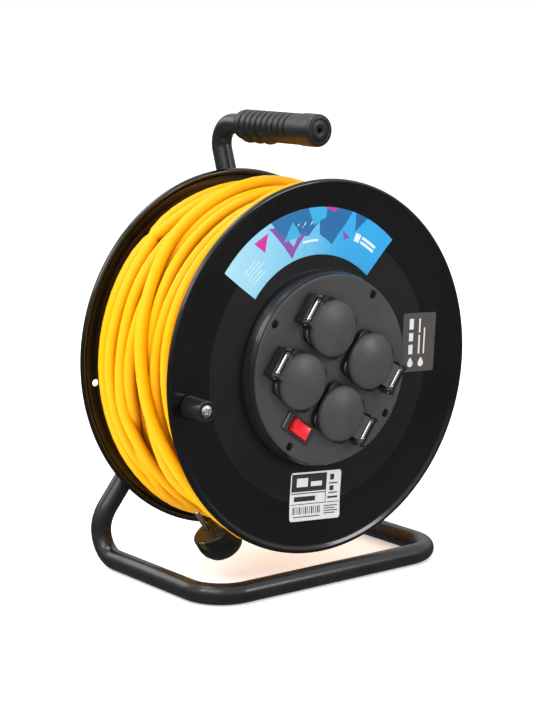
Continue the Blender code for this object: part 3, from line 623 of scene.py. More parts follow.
def pushed_apart(out, across, first, second, both):
    """The turns after each pair that overlaps has pushed itself a little apart."""
    along_r = out[first] - out[second]
    along_z = across[first] - across[second]
    away = np.sqrt(along_r ** 2 + along_z ** 2) + 1e-9
    short = np.where(both & (away < CABLE), (CABLE - away) / away * 0.42, 0.0)
    moved = []
    for values, along in ((out, along_r), (across, along_z)):
        push = np.zeros_like(values)
        np.add.at(push, first, short * along)
        np.add.at(push, second, -short * along)
        moved.append(values + np.clip(push, -0.0012, 0.0012))
    return moved


def settled(angle, out, across):
    """Lets the turns push each other aside where they overlap, and pulls each one tight along its length."""
    count = len(angle)
    real = np.arange(out.size).reshape(out.shape) < count
    section = -TAU * np.arange(SAMPLES) / SAMPLES + GLAND_TURN
    balls = obstacles()
    first, second = np.triu_indices(len(out), 1)
    both = real[first] & real[second]
    before_end = rows((count - np.arange(count)) / SAMPLES, inf)
    lift = 0.004 * smooth_step((1.05 - before_end) / 0.2)
    sag = smooth_step((1.16 - before_end) / 0.1) * smooth_step((before_end - 0.82) / 0.14)
    free = 14
    ending = slice(count - free, count)
    nearing = np.linspace(0.0, 1.0, free) ** 0.7
    for _ in range(ROUNDS):
        out, across = pushed_apart(out, across, first, second, both)
        for middle, radius in balls:
            x = out * np.cos(section) - middle.x
            y = out * np.sin(section) - middle.y
            depth = across - middle.z
            away = np.sqrt(x * x + y * y + depth * depth) + 1e-9
            reach = radius + CABLE / 2.0
            inside = np.where(real & (away < reach), (reach - away) / away, 0.0)
            outward = x * np.cos(section) + y * np.sin(section)
            out = out + 0.6 * np.clip(inside * outward, -0.002, 0.002)
            across = across + 0.6 * np.clip(inside * depth, -0.002, 0.002)
        share = np.clip((across + 0.03) / 0.06, 0.0, 1.0)
        ceiling = CEILING_REAR + (CEILING_FRONT - CEILING_REAR) * share + lift
        ceiling = np.maximum(ceiling, (SAG_RADIUS + 0.0005) * sag)
        out = np.where(out > ceiling, out + 0.5 * (ceiling - out), out)
        out = np.maximum(out - 0.00004, LAYERS[0])
        out = np.maximum(out, SAG_RADIUS * sag)
        wall = HALF_WIDTH + np.clip((out - BEND_ON_FLANGE) * 0.075, 0.0, 0.0026)
        across = np.where(real, np.clip(across, -wall, wall), across)
        for values, target in ((out, RELIEF_END_RADIUS), (across, RELIEF_END.z)):
            line = values.reshape(-1)[:count]
            kept = line[ending].copy()
            line[1:-1] += 0.3 * (0.5 * (line[:-2] + line[2:]) - line[1:-1])
            line[ending] = kept + (target - kept) * nearing
    return out.ravel()[:count], across.ravel()[:count]


def make_winding():
    turns, angle, planned = planned_crossing()
    radius, z = settled(angle, rows(planned_layers(turns), LAYERS[0]), rows(planned, 9.0))
    radius = GLAND_RADIUS + (radius - GLAND_RADIUS) * smooth_step(turns / 0.12)
    points = np.stack([radius * np.cos(angle), radius * np.sin(angle), z], axis=1)
    points = np.vstack([points, np.array(RELIEF_END - 0.0045 * ALONG_DRUM)])
    world = np.stack([points[:, 0], DRUM_Y - points[:, 2], AXIS_HEIGHT + points[:, 1]], axis=1)
    length = float(np.linalg.norm(np.diff(world, axis=0), axis=1).sum())
    print(f"wound cable: {length:.2f} m, out to {radius.max() * 1000:.1f} mm")
    data = bpy.data.curves.new("wound_cable", "CURVE")
    with_settings(data, dimensions="3D", bevel_depth=CABLE / 2.0, bevel_resolution=5, use_fill_caps=True)
    spline = data.splines.new("POLY")
    spline.points.add(len(world) - 1)
    spline.points.foreach_set("co", np.hstack([world, np.ones((len(world), 1))]).astype(np.float32).ravel())
    spline.use_smooth = True
    data.materials.append(PAINT["yellow_cable"])
    made = in_scene("wound_cable", data)
    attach(made, "drum")
    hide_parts("cable_winding")
    return made


def both_sides(inner, outer):
    """(number, side, low, high) for the same stretch on each side of the middle."""
    return [(1, -1, -outer, -inner), (2, 1, inner, outer)]


def make_plug():
    """The plug's round body with its earth contacts and pins, and the ribbed strain relief at its side."""
    outline = softened([(0.0, 0.0), (0.019, 0.0), (PLUG_RADIUS, -0.0012), (PLUG_RADIUS, -0.012),
                        (0.0188, -0.0175), (0.0146, -0.0236), (0.0092, -0.0268), (0.0, -PLUG_DEPTH)], 0.0014)
    cuts = []
    for _, side, low, high in both_sides(0.0172, 0.024):
        cuts.append((block((-0.0042, low, -0.0092), (0.0042, high, 0.001)), HERE))
        cuts.append((rod(0.0034, -0.0006, 0.003, 24), at(side * CONTACT_SPACING / 2.0)))
    for turn in range(5):
        groove = lathe([(0.0212, -0.0004), (0.0199, 0.0), (0.0212, 0.0004)], 48)
        cuts.append((groove, at(z=-0.0104 - 0.0016 * turn)))
    neck = sweep([(0.0, out, -RELIEF_DEPTH) for out in (0.012, 0.0168, 0.0204)], [0.0098, 0.0096, 0.0084], 28)
    body = carved(lathe(outline, 96), [(neck, HERE)], cuts, 0.00035)
    made = [piece("plug_shell", body, DRUM @ PLUG, "plug", "plug_body")]
    prong_outline = [(0.0, 0.019), (0.0012, 0.0189), (0.0024, 0.0174), (0.0024, 0.0062), (0.00215, 0.0056),
                     (0.00215, -0.0004), (0.0, -0.0004)]
    for number, side, low, high in both_sides(0.0178, 0.0192):
        clip = carved(block((-0.0036, low, -0.0088), (0.0036, high, -0.0003)), (), (), 0.0004, 3)
        made.append(piece(f"plug_clip_{number}", clip, DRUM @ PLUG, "brass", f"plug_earth_contact_{number}"))
        prong = lathe(softened(prong_outline, 0.0004, 3), 32)
        place = DRUM @ PLUG @ at(side * CONTACT_SPACING / 2.0)
        made.append(piece(f"plug_prong_{number}", prong, place, "nickel", f"plug_pin_{number}"))
    shares = np.linspace(0.0, 1.0, 73)
    flute = 0.0011 * between(shares, 0.12, 0.08, 0.93, 0.05)
    radii = 0.0078 * (1.0 - 0.24 * shares) - flute * (0.5 - 0.5 * np.cos(TAU * 7.0 * shares)) ** 2
    relief = sweep(relief_route(72), radii.tolist(), 32, 50.0)
    made.append(piece("plug_relief", relief, DRUM, "plug", "plug_strain_relief"))
    return made


winding = make_winding()
plug_pieces = make_plug()


# ---- stand
def filleted(corners, radii, pieces=18):
    corners = [Vector(corner) for corner in corners]
    points = corners[:1]
    for before, corner, after, radius in zip(corners, corners[1:], corners[2:], radii):
        back = (before - corner).normalized()
        on = (after - corner).normalized()
        half = back.angle(on) / 2.0
        centre = corner + (back + on).normalized() * radius / sin(half)
        first = corner + back * radius / tan(half) - centre
        last = corner + on * radius / tan(half) - centre
        arc = first.angle(last)
        for step in range(pieces + 1):
            along = arc * step / pieces
            points.append(centre + (sin(arc - along) * first + sin(along) * last) / sin(arc))
    return points + corners[-1:]


def make_stand():
    foot = TUBE_RADIUS * cos(pi / 10.0)
    bends = [((-0.1256, 0.0896, 0.0426), 0.034), ((-0.1248, 0.092, foot), 0.0224),
             ((-0.1248, -0.077, foot), 0.033), ((0.1248, -0.077, foot), 0.033),
             ((0.1248, 0.092, foot), 0.0224), ((0.1256, 0.0896, 0.0426), 0.034),
             ((HANDLE_X, 0.0786, 0.2035), 0.045), ((HANDLE_X, 0.0812, 0.333), 0.06),
             ((HANDLE_X, 0.0985, GRIP_HEIGHT), 0.0182)]
    corners, radii = zip(*bends)
    route = filleted([(-0.0144, 0.0787, 0.196), *corners, (HANDLE_X, -0.0326, GRIP_HEIGHT)], radii)
    tube = sweep(route, [TUBE_RADIUS] * len(route), 40, 60.0)
    piece("bent_tube", tube, STAND, "stand_paint", "stand_tube", "stand")
    plate = slab(rounded_outline(0.034, 0.038, 0.01, 8), -0.003, -0.0003)
    plate = carved(plate, (), [(rod(0.0063, -0.01, 0.01), HERE)], 0.0005, 3)
    piece("hub_plate_pressed", plate, STAND_AXIS @ at(z=-PLATE_FRONT), "stand_paint", "hub_plate", "stand")
    pin = [(0.0, 0.002), (0.0052, 0.002), (0.006, 0.0012)]
    pin += raised(-PLATE_FRONT - 0.003,
                  [(0.006, -0.0003), (0.0095, -0.0003), (0.0092, -0.0014), (0.006, -0.0022), (0.0, -0.0023)])
    piece("axle_pin", lathe(softened(pin, 0.0004, 3), 48), STAND_AXIS, "zinc", "axle", "stand")


def make_welds():
    """Beads that join the two tube ends to the hub plate, laid in short ripples."""
    lines = [((-0.035, 0.172), (-0.015, 0.188)), ((0.035, 0.17), (0.019, 0.186)),
             ((-0.001, 0.202), (-0.001, 0.219)), ((0.019, 0.203), (0.019, 0.219))]
    shares = np.linspace(0.0, 1.0, 37)
    swelling = 0.45 + 0.55 * np.sin(pi * np.clip(shares, 0.03, 0.97)) ** 0.4
    radii = 0.0016 * swelling * (1.0 + 0.12 * np.cos(TAU * 9.0 * shares))
    for number, (start, stop) in enumerate(lines, start=1):
        ends = [Vector((x, PLATE_FRONT + 0.0036, z)) for x, z in (start, stop)]
        bead = sweep([ends[0].lerp(ends[1], share) for share in shares], radii.tolist(), 12, 70.0)
        piece(f"weld_{number}", bead, STAND, "stand_paint", body="stand")


def make_grip():
    """The hand grip: ribs over its top and sides, finger rests below, a plain collar at its front end."""
    stations = 480
    sides = 72
    turns = [TAU * step / sides for step in range(sides)]
    shape = bmesh.new()

    def ring(along, radii):
        return loop_of(shape, [(radius * cos(turn), -along, radius * sin(turn))
                               for turn, radius in zip(turns, radii)])

    def rounded_end(distance, reach):
        """How far the grip has drawn in, as a share, near a rounded end."""
        return 1.0 - sqrt(max(0.0, 1.0 - (1.0 - min(distance / reach, 1.0)) ** 2))

    upper = [float(smooth_step((0.55 + sin(turn)) / 0.35)) for turn in turns]
    lower = [float(smooth_step((-sin(turn) - 0.35) / 0.5)) for turn in turns]
    rings = [ring(0.004, [0.0094] * sides), ring(0.0, [0.0094] * sides)]
    for station in range(stations + 1):
        along = GRIP_LENGTH * station / stations
        base = 0.0134 - 0.0022 * rounded_end(GRIP_LENGTH - along, 0.004) - 0.0024 * rounded_end(along, 0.006)
        base += 0.0006 * float(smooth_step((along - 0.085) / 0.003))
        groove = 0.0029 * (0.5 + 0.5 * cos(TAU * (along - 0.0105) / 0.0078)) ** 12
        groove *= float(between(along, 0.006, 0.002, 0.077, 0.002))
        finger = 0.0006 + 0.0016 * cos(TAU * (along - 0.012) / 0.014)
        finger *= float(between(along, 0.003, 0.004, 0.044, 0.005))
        radii = [base - groove * above + finger * below for above, below in zip(upper, lower)]
        rings.append(ring(along, radii))
    # A ring and a round hole in the end face.
    for radius, back in ((0.0098, 0.0), (0.0093, 0.0008), (0.0087, 0.0002), (0.0025, 0.0), (0.0021, 0.0004),
                         (0.0021, 0.006)):
        rings.append(ring(GRIP_LENGTH - back, [radius] * sides))
    bridged(shape, rings)
    shape.faces.new(rings[-1])
    place = STAND @ at(HANDLE_X, GRIP_START_Y, GRIP_HEIGHT)
    piece("hand_grip", finished(shape, 50.0), place, "grip", "handle_grip", "stand")


# ---- drum
def flange_profile(inner):
    """From the inner edge out along the face, round the rolled rim and back along the inside."""
    bead_height = FACE_RIM - BEAD
    bead_middle = FLANGE_RADIUS - BEAD
    face = [(inner, FLAT_FACE - 0.0003), (inner + 0.0004, FLAT_FACE)]
    face += [(radius, FLAT_FACE) for radius in np.linspace(inner + 0.006, 0.11, 6)]
    face += [(radius, flange_height(radius)) for radius in np.linspace(0.1125, bead_middle - 0.0052, 16)]
    lip = flange_height(bead_middle - 0.0034)
    face += [(bead_middle - 0.0036, lip + 0.0001), (bead_middle - 0.0026, lip + 0.0006)]
    for step in range(15):
        angle = radians(122.0 - 18.0 * step)
        face.append((bead_middle + BEAD * cos(angle), bead_height + BEAD * sin(angle)))
    inside = [*np.linspace(bead_middle - 0.0036, 0.1125, 14), 0.11, inner]
    return face + [(radius, flange_height(radius) - SHEET) for radius in inside]


def make_flanges():
    piece("front_disc", lathe(flange_profile(0.07), 256, 40.0), DRUM, "enamel", "front_flange")
    rear = lathe(flange_profile(0.015), 256, 40.0)
    rear.transform(turned("X", pi))
    hole = rod(0.003, -0.07, -0.05)
    rear = carved(rear, (), [(hole, at(*polar(0.1465, radians(186.0))))], angle=40.0)
    piece("rear_disc", rear, DRUM, "enamel", "rear_flange")
    reach = FLAT_FACE + 0.0003
    head = [(0.0, 0.0019), (0.0026, 0.0018), (0.0046, 0.0006), (0.0048, 0.0), (0.0025, 0.0)]
    outline = raised(reach, head)
    outline += [(radius, -height) for radius, height in reversed(outline)]
    for number, place in quarter_turns(RIVET_CIRCLE, RIVET_TURN):
        rivet = lathe(softened(outline, 0.0004, 3), 32)
        piece(f"rivet_rod_{number}", rivet, DRUM @ at(*place), "zinc", f"tie_rod_{number}")


def phillips(reach, half_width, low):
    """The two crossed slots of a screw's head, as cuts."""
    return [(slab(bar(-reach, -half_width, reach, half_width), low, low + 0.01), turned("Z", turn))
            for turn in (0.0, QUARTER)]


def make_panel():
    outline = [(0.0809, 0.0738), (0.0826, 0.0712), (0.0845, 0.066), (0.0848, FLAT_FACE + 0.0003),
               (0.0824, FLAT_FACE + 0.0003), (0.0802, 0.0693), (0.0705, 0.0693), (0.0705, 0.0713),
               (0.0799, 0.0713), (0.0799, 0.0738)]
    piece("panel_ring", lathe(softened(outline, 0.0007, 3), 192, 30.0), DRUM, "housing", "panel_housing")
    outline = [(0.0, PANEL_FACE), (0.079, PANEL_FACE), (0.08, PANEL_FACE), (0.0805, PANEL_FACE - 0.0002),
               (PANEL_RADIUS, PANEL_FACE - 0.0007), (PANEL_RADIUS, 0.0741), (0.0796, 0.0741),
               (0.0796, PANEL_BACK), (0.0, PANEL_BACK)]
    recess = [(0.0, PANEL_BACK + 0.0005), (0.0036, PANEL_BACK + 0.0005), (0.0036, PANEL_FACE - 0.0005),
              (0.0041, PANEL_FACE), (0.0041, 0.08), (0.0, 0.08)]
    cuts = []
    for _, place in quarter_turns(SCREW_CIRCLE, SCREW_TURN):
        cuts.append((lathe(recess, 40), at(*place)))
        cuts.append((rod(0.0023, PANEL_BACK - 0.001, PANEL_BACK + 0.002, 24), at(*place)))
    for _, place in quarter_turns(SOCKET_CIRCLE, SOCKET_TURN):
        cuts.append((rod(0.0216, 0.06, 0.08, 72), at(*place)))
    opening = slab(rounded_outline(0.0143, 0.0068, 0.001, 3), 0.06, 0.09)
    cuts.append((opening, at(*SWITCH_PLACE) @ turned("Z", SWITCH_TURN)))
    plate = carved(lathe(outline, 192, 30.0), (), cuts, angle=30.0)
    piece("face_panel", plate, DRUM, "panel", "socket_panel")
    seat = PANEL_BACK + 0.0008
    outline = raised(seat, [(0.0, 0.0015), (0.002, 0.0013), (0.0031, 0.0006), (0.0033, 0.0), (0.0019, 0.0)])
    outline = softened(outline + [(0.0019, 0.0585), (0.0008, 0.057), (0.0, 0.057)], 0.0003, 3)
    for number, place in quarter_turns(SCREW_CIRCLE, SCREW_TURN):
        screw = carved(lathe(outline, 40), (), phillips(0.0019, 0.00036, seat + 0.0005))
        piece(f"face_screw_{number}", screw, DRUM @ at(*place) @ turned("Z", 0.3 * number), "dark_zinc",
              f"panel_screw_{number}")


HINGE = at(0.0, HINGE_OFFSET, HINGE_HEIGHT) @ turned("Y", QUARTER)


def socket_spot(number, place):
    """The frame of a socket, with its cover's hinge towards +y: two covers open one way, two the other."""
    turn = HINGE_LINE_TURN if number in (2, 3) else HINGE_LINE_TURN + pi
    return DRUM @ at(place.x, place.y, PANEL_FACE) @ turned("Z", turn)


def across_x(outline, low, high):
    """A slab across x, with an outline of (y, z)."""
    made = slab(outline, low, high)
    made.transform(ACROSS_X)
    return made


def make_socket(number, spot):
    """A square collar with its round well, contact holes and earth clips, and the cover's hinge bracket."""
    wall = HINGE_OFFSET + 0.0032
    back = wall + 0.0016
    top = HINGE_HEIGHT + 0.0026
    collar = slab(rounded_outline(COLLAR_HALF, COLLAR_HALF, 0.0085, 8), 0.0003, COLLAR_HEIGHT)
    joins = [rod(0.0213, COLLAR_HEIGHT - SOCKET_DEPTH, 0.002, 72),
             block((-EAR_OUTER, 0.02, 0.0003), (EAR_OUTER, back, 0.004)),
             block((-EAR_OUTER, wall, 0.003), (EAR_OUTER, back, HINGE_HEIGHT + 0.0006))]
    ear = [(HINGE_OFFSET - 0.0056, 0.003), (back, 0.003), (back, HINGE_HEIGHT + 0.0018), (wall + 0.0006, top),
           (HINGE_OFFSET - 0.0018, top), (HINGE_OFFSET - 0.004, HINGE_HEIGHT + 0.0012)]
    joins += [across_x(ear, low, high) for _, _, low, high in both_sides(EAR_INNER, EAR_OUTER)]
    well = lathe([(0.0, -0.0125), (0.019, -0.0125), (0.0195, -0.012), (0.0195, 0.004), (0.0201, 0.0052),
                  (0.0201, 0.02), (0.0, 0.02)], 72)
    contact = [(0.0, -0.0175), (0.0026, -0.0175), (0.0026, -0.0129), (0.0034, -0.0121), (0.0034, 0.0),
               (0.0, 0.0)]
    cuts = [(well, HERE)]
    clips = []
    for _, side, low, high in both_sides(0.018, 0.0199):
        cuts.append((lathe(contact, 28), at(side * CONTACT_SPACING / 2.0)))
        cuts.append((block((-0.003, low, -0.011), (0.003, high, 0.003)), HERE))
        path = [(0.0197, 0.0022), (0.019, -0.0002), (0.0176, -0.0035), (0.0182, -0.0085), (0.0192, -0.011)]
        clips.append(ribbon([(0.0, side * out, height) for out, height in path], 0.0044, 0.0005))
    cuts.append((rod(0.0017, -0.02, 0.02, 24), HINGE))
    socket = carved(collar, [(join, HERE) for join in joins], cuts, 0.00028)
    piece(f"outlet_{number}", socket, spot, "socket", f"socket_{number}")
    piece(f"outlet_clips_{number}", merged(clips), spot, "brass")
    pin = softened([(0.0, -0.0141), (0.00125, -0.014), (0.00125, 0.0135), (0.0019, 0.0136), (0.0019, 0.0142),
                    (0.0, 0.0145)], 0.0002, 3)
    piece(f"hinge_rod_{number}", lathe(pin), spot @ HINGE, "bright_steel", f"hinge_pin_{number}")
    half = 0.0088
    end = [(0.0014, half), (0.0025, half), (0.0025, half - 0.0012), (0.0023, half - 0.0016)]
    sleeve = softened([(radius, -height) for radius, height in end] + end[::-1], 0.0003, 3)
    sleeve = lathe(sleeve, 48, 30.0)
    piece(f"cover_spring_{number}", sleeve, spot @ HINGE, "bright_steel", f"lid_spring_{number}")


def make_lid(number, spot):
    """A gently domed cover on an arm that ends in the two knuckles on the hinge rod."""
    rim = COLLAR_HEIGHT + 0.0004
    top = LID_TOP + 0.0014
    inner = LID_RADIUS - 0.002
    near = HINGE_OFFSET - 0.003
    dome = [(0.0, top)]
    dome += [(radius, top - 0.0047 * (radius / 0.0215) ** 2.0) for radius in np.linspace(0.003, 0.0215, 11)]
    dome += raised(top, [(0.0227, -0.0056), (0.0235, -0.0066), (0.0239, -0.0078), (LID_RADIUS, -0.0084)])
    dome += raised(rim, [(LID_RADIUS, 0.0003), (LID_RADIUS - 0.0004, 0.0), (LID_RADIUS - 0.0017, 0.0),
                         (inner, 0.0003)])
    dome += raised(LID_TOP, [(inner, -0.0064), (0.019, -0.0042), (0.0, -0.0024)])
    arm = raised(HINGE_HEIGHT, [(0.02, -0.0028), (near, -0.0012), (near, 0.0008), (near - 0.0012, 0.0008),
                                (0.0232, -0.0006), (0.02, -0.0006)])
    joins = [(across_x(arm, -0.0107, 0.0107), HERE)]
    for _, _, low, high in both_sides(0.0092, 0.0109):
        strap = block((low, near - 0.0006, HINGE_HEIGHT - 0.0011),
                      (high, HINGE_OFFSET, HINGE_HEIGHT + 0.0008))
        joins += [(strap, HERE), (rod(0.0024, low, high), HINGE)]
    lid = carved(lathe(dome, 96, 30.0), joins, [(rod(0.0015, -0.02, 0.02, 24), HINGE)], 0.0003, angle=30.0)
    piece(f"cover_{number}", lid, spot, "lid", f"lid_{number}", f"lid_{number}")


def make_switch():
    spot = DRUM @ at(*SWITCH_PLACE, PANEL_FACE) @ turned("Z", SWITCH_TURN)
    # From the back of the body forward, over the collar and down into the opening: (half x, half y, height).
    sizes = [(0.0138, 0.0064, -0.022), (0.0138, 0.0064, 0.0003), (0.0165, 0.008, 0.0003),
             (0.0165, 0.008, 0.0016), (0.0158, 0.0073, 0.0026), (0.0112, 0.0068, 0.0026),
             (0.0105, 0.0061, 0.002), (0.0105, 0.0061, -0.01)]
    rings = [[(x, y, height) for x, y in rounded_outline(half_x, half_y, 0.001, 4)]
             for half_x, half_y, height in sizes]
    piece("bezel", skin(rings, 25.0), spot, "bezel", "switch_bezel")
    half = 0.0097
    section = [(half * share, 0.0044 + 0.0024 * abs(share) ** 1.5) for share in np.linspace(-1.0, 1.0, 17)]
    section += [(half - 0.0012, -0.003), (0.0045, -0.007), (-0.0045, -0.007), (-half + 0.0012, -0.003)]
    rocker = carved(slab(section, -0.0057, 0.0057), (), (), 0.0005, 3, 25.0)
    place = spot @ at(z=-0.001) @ turned("Y", SWITCH_TILT) @ turned("X", QUARTER)
    piece("rocker_key", rocker, place, "red_rocker", "switch_rocker", "switch_rocker")


def make_knob():
    seat = 0.0652
    outline = raised(KNOB_TIP, [(0.0062, -0.0012), (0.0079, -0.001), (0.0088, -0.0018), (0.0089, -0.006)])
    outline += raised(seat, [(0.0094, 0.004), (0.0095, 0.0015), (0.009, 0.0), (0.0031, 0.0)])
    outline += raised(KNOB_TIP, [(0.0031, -0.004), (0.0062, -0.004)])
    place = DRUM @ at(*KNOB_PLACE)
    piece("winding_knob", lathe(softened(outline, 0.0006, 3), 64, 30.0), place, "housing", "knob", "knob")
    under = KNOB_TIP - 0.0037
    outline = raised(KNOB_TIP, [(0.0, 0.0003), (0.003, 0.0), (0.0051, -0.0012)])
    outline += raised(under, [(0.0056, 0.0008), (0.0056, 0.0), (0.0028, 0.0)])
    outline = softened(outline + [(0.0028, 0.059), (0.0, 0.059)], 0.0004, 3)
    screw = carved(lathe(outline, 48), (), phillips(0.0033, 0.00058, KNOB_TIP - 0.0015), 0.00012, 1)
    piece("knob_bolt", screw, place @ turned("Z", 0.5), "zinc", "knob_screw")


# ---- labels
FILM_BACK = 0.00002
FILM_FACE = 0.00016
PRINT_FACE = 0.00019
PRINT_STEP = 0.00001
PATCH_PARTS = 8


def film(name, place_of, columns, rows, patches, paints, stands_for, corner=0.0):
    """A thin printed film on the flange. Each patch is (paint number, corners), in shares across the film."""
    shape = bmesh.new()

    def lifted(across, up, height):
        x, y = place_of(across, up)
        return (x, y, flange_height(hypot(x, y)) + height)

    def drawn_in(share, other):
        """Rounds the film's corners by drawing its ends in."""
        near = min(other, 1.0 - other) / corner if corner else 1.0
        if near >= 1.0:
            return share
        inset = corner * (1.0 - sqrt(1.0 - (1.0 - near) ** 2)) * 0.8
        return inset + share * (1.0 - 2.0 * inset)

    def sheet(height, flip):
        grid = [loop_of(shape, [lifted(drawn_in(column / columns, row / rows), row / rows, height)
                                for row in range(rows + 1)]) for column in range(columns + 1)]
        for left, right in zip(grid, grid[1:]):
            for row in range(rows):
                corners = [left[row], right[row], right[row + 1], left[row + 1]]
                shape.faces.new(corners[::-1] if flip else corners)
        edge = [line[0] for line in grid] + grid[-1][1:-1]
        return edge + [line[-1] for line in reversed(grid)] + grid[0][-2:0:-1]

    bridged(shape, [sheet(height, flip) for height, flip in ((FILM_FACE, False), (FILM_BACK, True))][::-1])
    for number, (paint, corners) in enumerate(patches):
        height = PRINT_FACE + PRINT_STEP * (number % 5)
        first = Vector(corners[0])
        for second, third in zip(corners[1:], corners[2:]):
            along, up = Vector(second) - first, Vector(third) - first
            lines = []
            for i in range(PATCH_PARTS + 1):
                spots = [first + (along * i + up * j) / PATCH_PARTS for j in range(PATCH_PARTS + 1 - i)]
                lines.append(loop_of(shape, [lifted(*spot, height) for spot in spots]))
            for line, after in zip(lines, lines[1:]):
                triangles = list(zip(line, after, line[1:])) + list(zip(after, after[1:], line[1:]))
                for triangle in triangles:
                    shape.faces.new(triangle).material_index = paint
    for face in shape.faces:
        face.normal_update()
        if face.material_index and face.normal.z < 0.0:
            face.normal_flip()
    piece(name, meshed(shape, 50.0), DRUM, paints, stands_for)


def banner_place(across, out):
    return polar(0.08 + 0.04 * out, radians(143.0 - 97.0 * across)).xy + Vector((-0.0064, 0.0168))


def leaning(centre, size, turn):
    def place(across, up):
        spot = Vector(((across - 0.5) * size[0], (up - 0.5) * size[1]))
        spot.rotate(Matrix.Rotation(turn, 2))
        return spot + Vector(centre)
    return place


def make_banner():
    sky, deep = (0.02, 0.36, 0.78), (0.01, 0.12, 0.36)
    paints = [
        film_paint("banner_film", (0.42, 0.76, 0.9), (0.4, (0.2, 0.6, 0.86)), (0.62, (0.03, 0.42, 0.83)),
                   (1.0, (0.01, 0.38, 0.84))),
        film_paint("banner_deep", (0.02, 0.2, 0.46), (1.0, deep)),
        film_paint("banner_sky", (0.05, 0.5, 0.78), (1.0, sky)),
        film_paint("banner_magenta", (0.72, 0.02, 0.34), (1.0, (0.5, 0.04, 0.36))),
        film_paint("banner_purple", (0.32, 0.08, 0.44), (1.0, (0.2, 0.08, 0.42))),
        film_paint("banner_print", (0.62, 0.84, 0.92), (1.0, (0.84, 0.92, 0.96))),
    ]
    patches = [
        (1, [(0.3, 1.0), (0.34, 0.46), (0.5, 0.42), (0.57, 0.72), (0.56, 1.0)]),
        (1, [(0.56, 1.0), (0.57, 0.42), (0.66, 0.22), (0.72, 0.7), (0.74, 1.0)]),
        (2, [(0.5, 1.0), (0.53, 0.62), (0.6, 0.78), (0.6, 1.0)]),
        (1, [(0.76, 1.0), (0.79, 0.62), (0.83, 1.0)]),
        (2, [(0.34, 0.46), (0.41, 0.8), (0.45, 0.44)]),
        (4, [(0.28, 0.92), (0.36, 0.06), (0.4, 0.2), (0.32, 0.84)]),
        (4, [(0.36, 0.06), (0.49, 0.5), (0.44, 0.5), (0.38, 0.24)]),
        (3, [(0.185, 0.86), (0.27, 0.84), (0.215, 0.52)]),
        (3, [(0.585, 1.0), (0.64, 0.9), (0.66, 1.0)]),
        (4, [(0.715, 0.56), (0.77, 0.46), (0.735, 0.38)]),
    ]
    bars = [(0.395, 0.62, 0.545, 0.72), (0.455, 0.28, 0.56, 0.33), (0.8, 0.44, 0.835, 0.62),
            (0.845, 0.55, 0.945, 0.61), (0.845, 0.45, 0.945, 0.51)]
    for line in range(5):
        bars.append((0.055, 0.54 - 0.085 * line, 0.15 + 0.016 * (line % 3), 0.565 - 0.085 * line))
    patches += [(5, bar(*sides)) for sides in bars]
    film("arc_film", banner_place, 96, 12, patches, paints, "banner_label")


def make_side_label():
    paints = [film_paint("side_film", (0.085, 0.076, 0.07)), film_paint("print_white", (0.78, 0.78, 0.78))]
    bars = [(0.2, 0.3, 0.33, 0.46), (0.2, 0.52, 0.33, 0.66), (0.2, 0.72, 0.33, 0.9),
            (0.5, 0.3, 0.55, 0.62), (0.5, 0.66, 0.55, 0.9), (0.66, 0.3, 0.7, 0.74)]
    patches = [(1, bar(*sides)) for sides in bars]
    for middle in (0.27, 0.6):
        drop = []
        for step in range(20):
            angle = TAU * step / 20.0
            sharp = max(0.0, sin(angle)) ** 3
            drop.append((middle + 0.085 * cos(angle) * (1.0 - 0.55 * sharp),
                         0.14 + 0.06 * sin(angle) + 0.045 * sharp))
        patches.append((1, drop))
    place = leaning((0.1092, 0.0104), (0.037, 0.052), radians(-3.0))
    film("side_film", place, 24, 24, patches, paints, "side_label", 0.035)
    return paints[1]


def make_rating_label(white):
    dark = film_paint("print_dark", (0.035, 0.032, 0.032))
    blocks = [(1, (0.02, 0.6, 0.7, 0.965)), (0, (0.12, 0.7, 0.34, 0.88)), (0, (0.4, 0.7, 0.62, 0.8)),
              (1, (0.02, 0.555, 0.7, 0.575)), (1, (0.08, 0.4, 0.5, 0.5)), (1, (0.02, 0.335, 0.98, 0.35)),
              (1, (0.7, 0.36, 0.712, 0.97)), (1, (0.78, 0.8, 0.86, 0.92)), (1, (0.76, 0.72, 0.94, 0.745)),
              (1, (0.78, 0.58, 0.86, 0.68)), (1, (0.76, 0.52, 0.94, 0.545)), (1, (0.75, 0.42, 0.95, 0.46))]
    for line in range(14):
        left = 0.06 + 0.041 * line
        blocks.append((1, (left, 0.14, left + (0.014 if line % 3 else 0.024), 0.29)))
    for line in range(4):
        blocks.append((1, (0.68, 0.26 - 0.05 * line, 0.95 - 0.05 * (line % 2), 0.28 - 0.05 * line)))
    blocks.append((1, (0.08, 0.075, 0.6, 0.095)))
    patches = [(paint, bar(*sides)) for paint, sides in blocks]
    place = leaning((-0.0064, -0.1104), (0.055, 0.042), radians(-4.5))
    film("spec_film", place, 32, 24, patches, [white, dark], "rating_label", 0.04)


make_stand()
make_welds()
make_grip()
make_flanges()
make_panel()
for socket_number, socket_place in quarter_turns(SOCKET_CIRCLE, SOCKET_TURN):
    make_socket(socket_number, socket_spot(socket_number, socket_place))
    make_lid(socket_number, socket_spot(socket_number, socket_place))
make_switch()
make_knob()
make_banner()
make_rating_label(make_side_label())

# The pieces inside keep their CAD shape.
KEPT = {
    "housing": ("drum_core", "bearing_hub", "cable_gland"), "brass": ("rear_bush", "front_bush"),
    "nylon": ("terminal_block", "thrust_washer"), "yellow_cable": ("inner_cable",),
    "zinc": ("axle_washer", "axle_nut", "knob_nut"),
}
for paint_name, kept_names in KEPT.items():
    for kept_name in kept_names:
        kept_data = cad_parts[kept_name].data
        kept_data.materials.clear()
        kept_data.materials.append(PAINT[paint_name])


# ---- studio
WHITE = (1.0, 1.0, 1.0, 1.0)


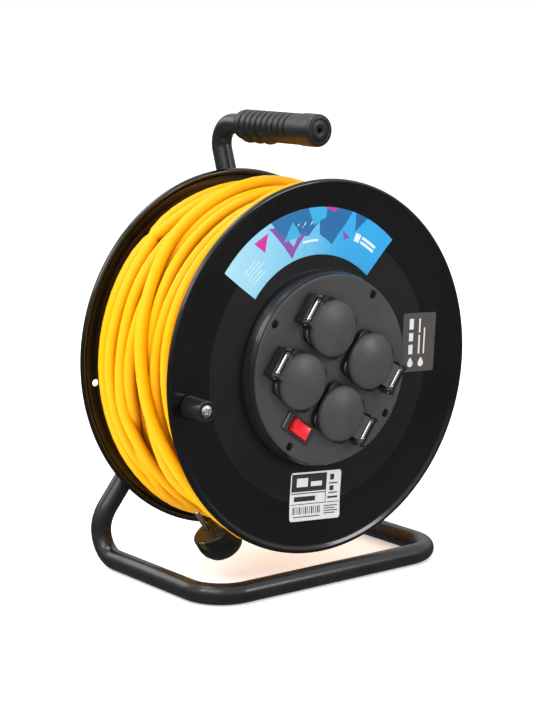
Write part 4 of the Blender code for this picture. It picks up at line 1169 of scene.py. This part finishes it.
def make_floor():
    shape = bmesh.new()
    bmesh.ops.create_grid(shape, x_segments=8, y_segments=8, size=50.0)
    data = finished(shape)
    paint = Paint("floor_paper", (0.95, 0.95, 0.95), 0.75, Emission_Color=WHITE, Emission_Strength=0.42)
    data.materials.append(paint.mottle(2.0, 0.008).rough(4.0, 0.7, 0.8).grain(180.0, 0.00005, 2.0, 0.3).made)
    with_settings(in_scene("floor", data), location=(0.0, 0.0, -0.0006), visible_glossy=False)


def softbox(name, place, size, power):
    """A rectangular light that is turned to the reel."""
    data = bpy.data.lights.new(name, "AREA")
    with_settings(data, shape="RECTANGLE", size=size[0], size_y=size[1], energy=power)
    turn = (Vector((0.0, 0.0, 0.2)) - Vector(place)).to_track_quat("-Z", "Y").to_euler()
    with_settings(in_scene(name, data), location=place, rotation_euler=turn)


def make_studio():
    world = bpy.data.worlds.new("studio")
    bpy.context.scene.world = world
    world.use_nodes = True
    tree = world.node_tree
    tree.nodes.clear()

    def background(strength):
        made = node(tree, "Background", {"Color": WHITE, "Strength": strength})
        return made.outputs["Background"]

    def chosen(ray, other, own):
        """The own shader for one kind of ray, the other one for the rest."""
        inputs = {"Fac": rays[ray], 1: other, 2: own}
        return node(tree, "MixShader", inputs).outputs["Shader"]

    direction = node(tree, "TexCoord").outputs["Generated"]
    apart = node(tree, "SeparateXYZ", {"Vector": direction})
    limits = {"From Min": -0.1, "From Max": 0.55, "To Min": 0.1, "To Max": 1.0, "Value": apart.outputs["Z"]}
    upward = node(tree, "MapRange", limits, interpolation_type="SMOOTHSTEP").outputs["Result"]
    rays = node(tree, "LightPath").outputs
    lit = chosen("Is Glossy Ray", background(0.98), background(upward))
    seen = chosen("Is Camera Ray", lit, background(1.0))
    node(tree, "OutputWorld", {"Surface": seen})
    softbox("key", (-1.5, -0.9, 1.7), (1.1, 1.1), 13.0)
    softbox("spark", (-1.7, -0.1, 1.6), (0.25, 0.9), 7.0)
    softbox("top", (-0.35, 0.35, 2.0), (1.0, 0.7), 13.0)
    softbox("fill", (1.1, -1.9, 1.0), (0.6, 0.6), 10.0)
    softbox("back", (-0.9, 2.0, 1.4), (1.4, 1.0), 10.0)
    with_settings(bpy.context.scene.view_settings, view_transform="Standard", look="None")


make_floor()
make_studio()
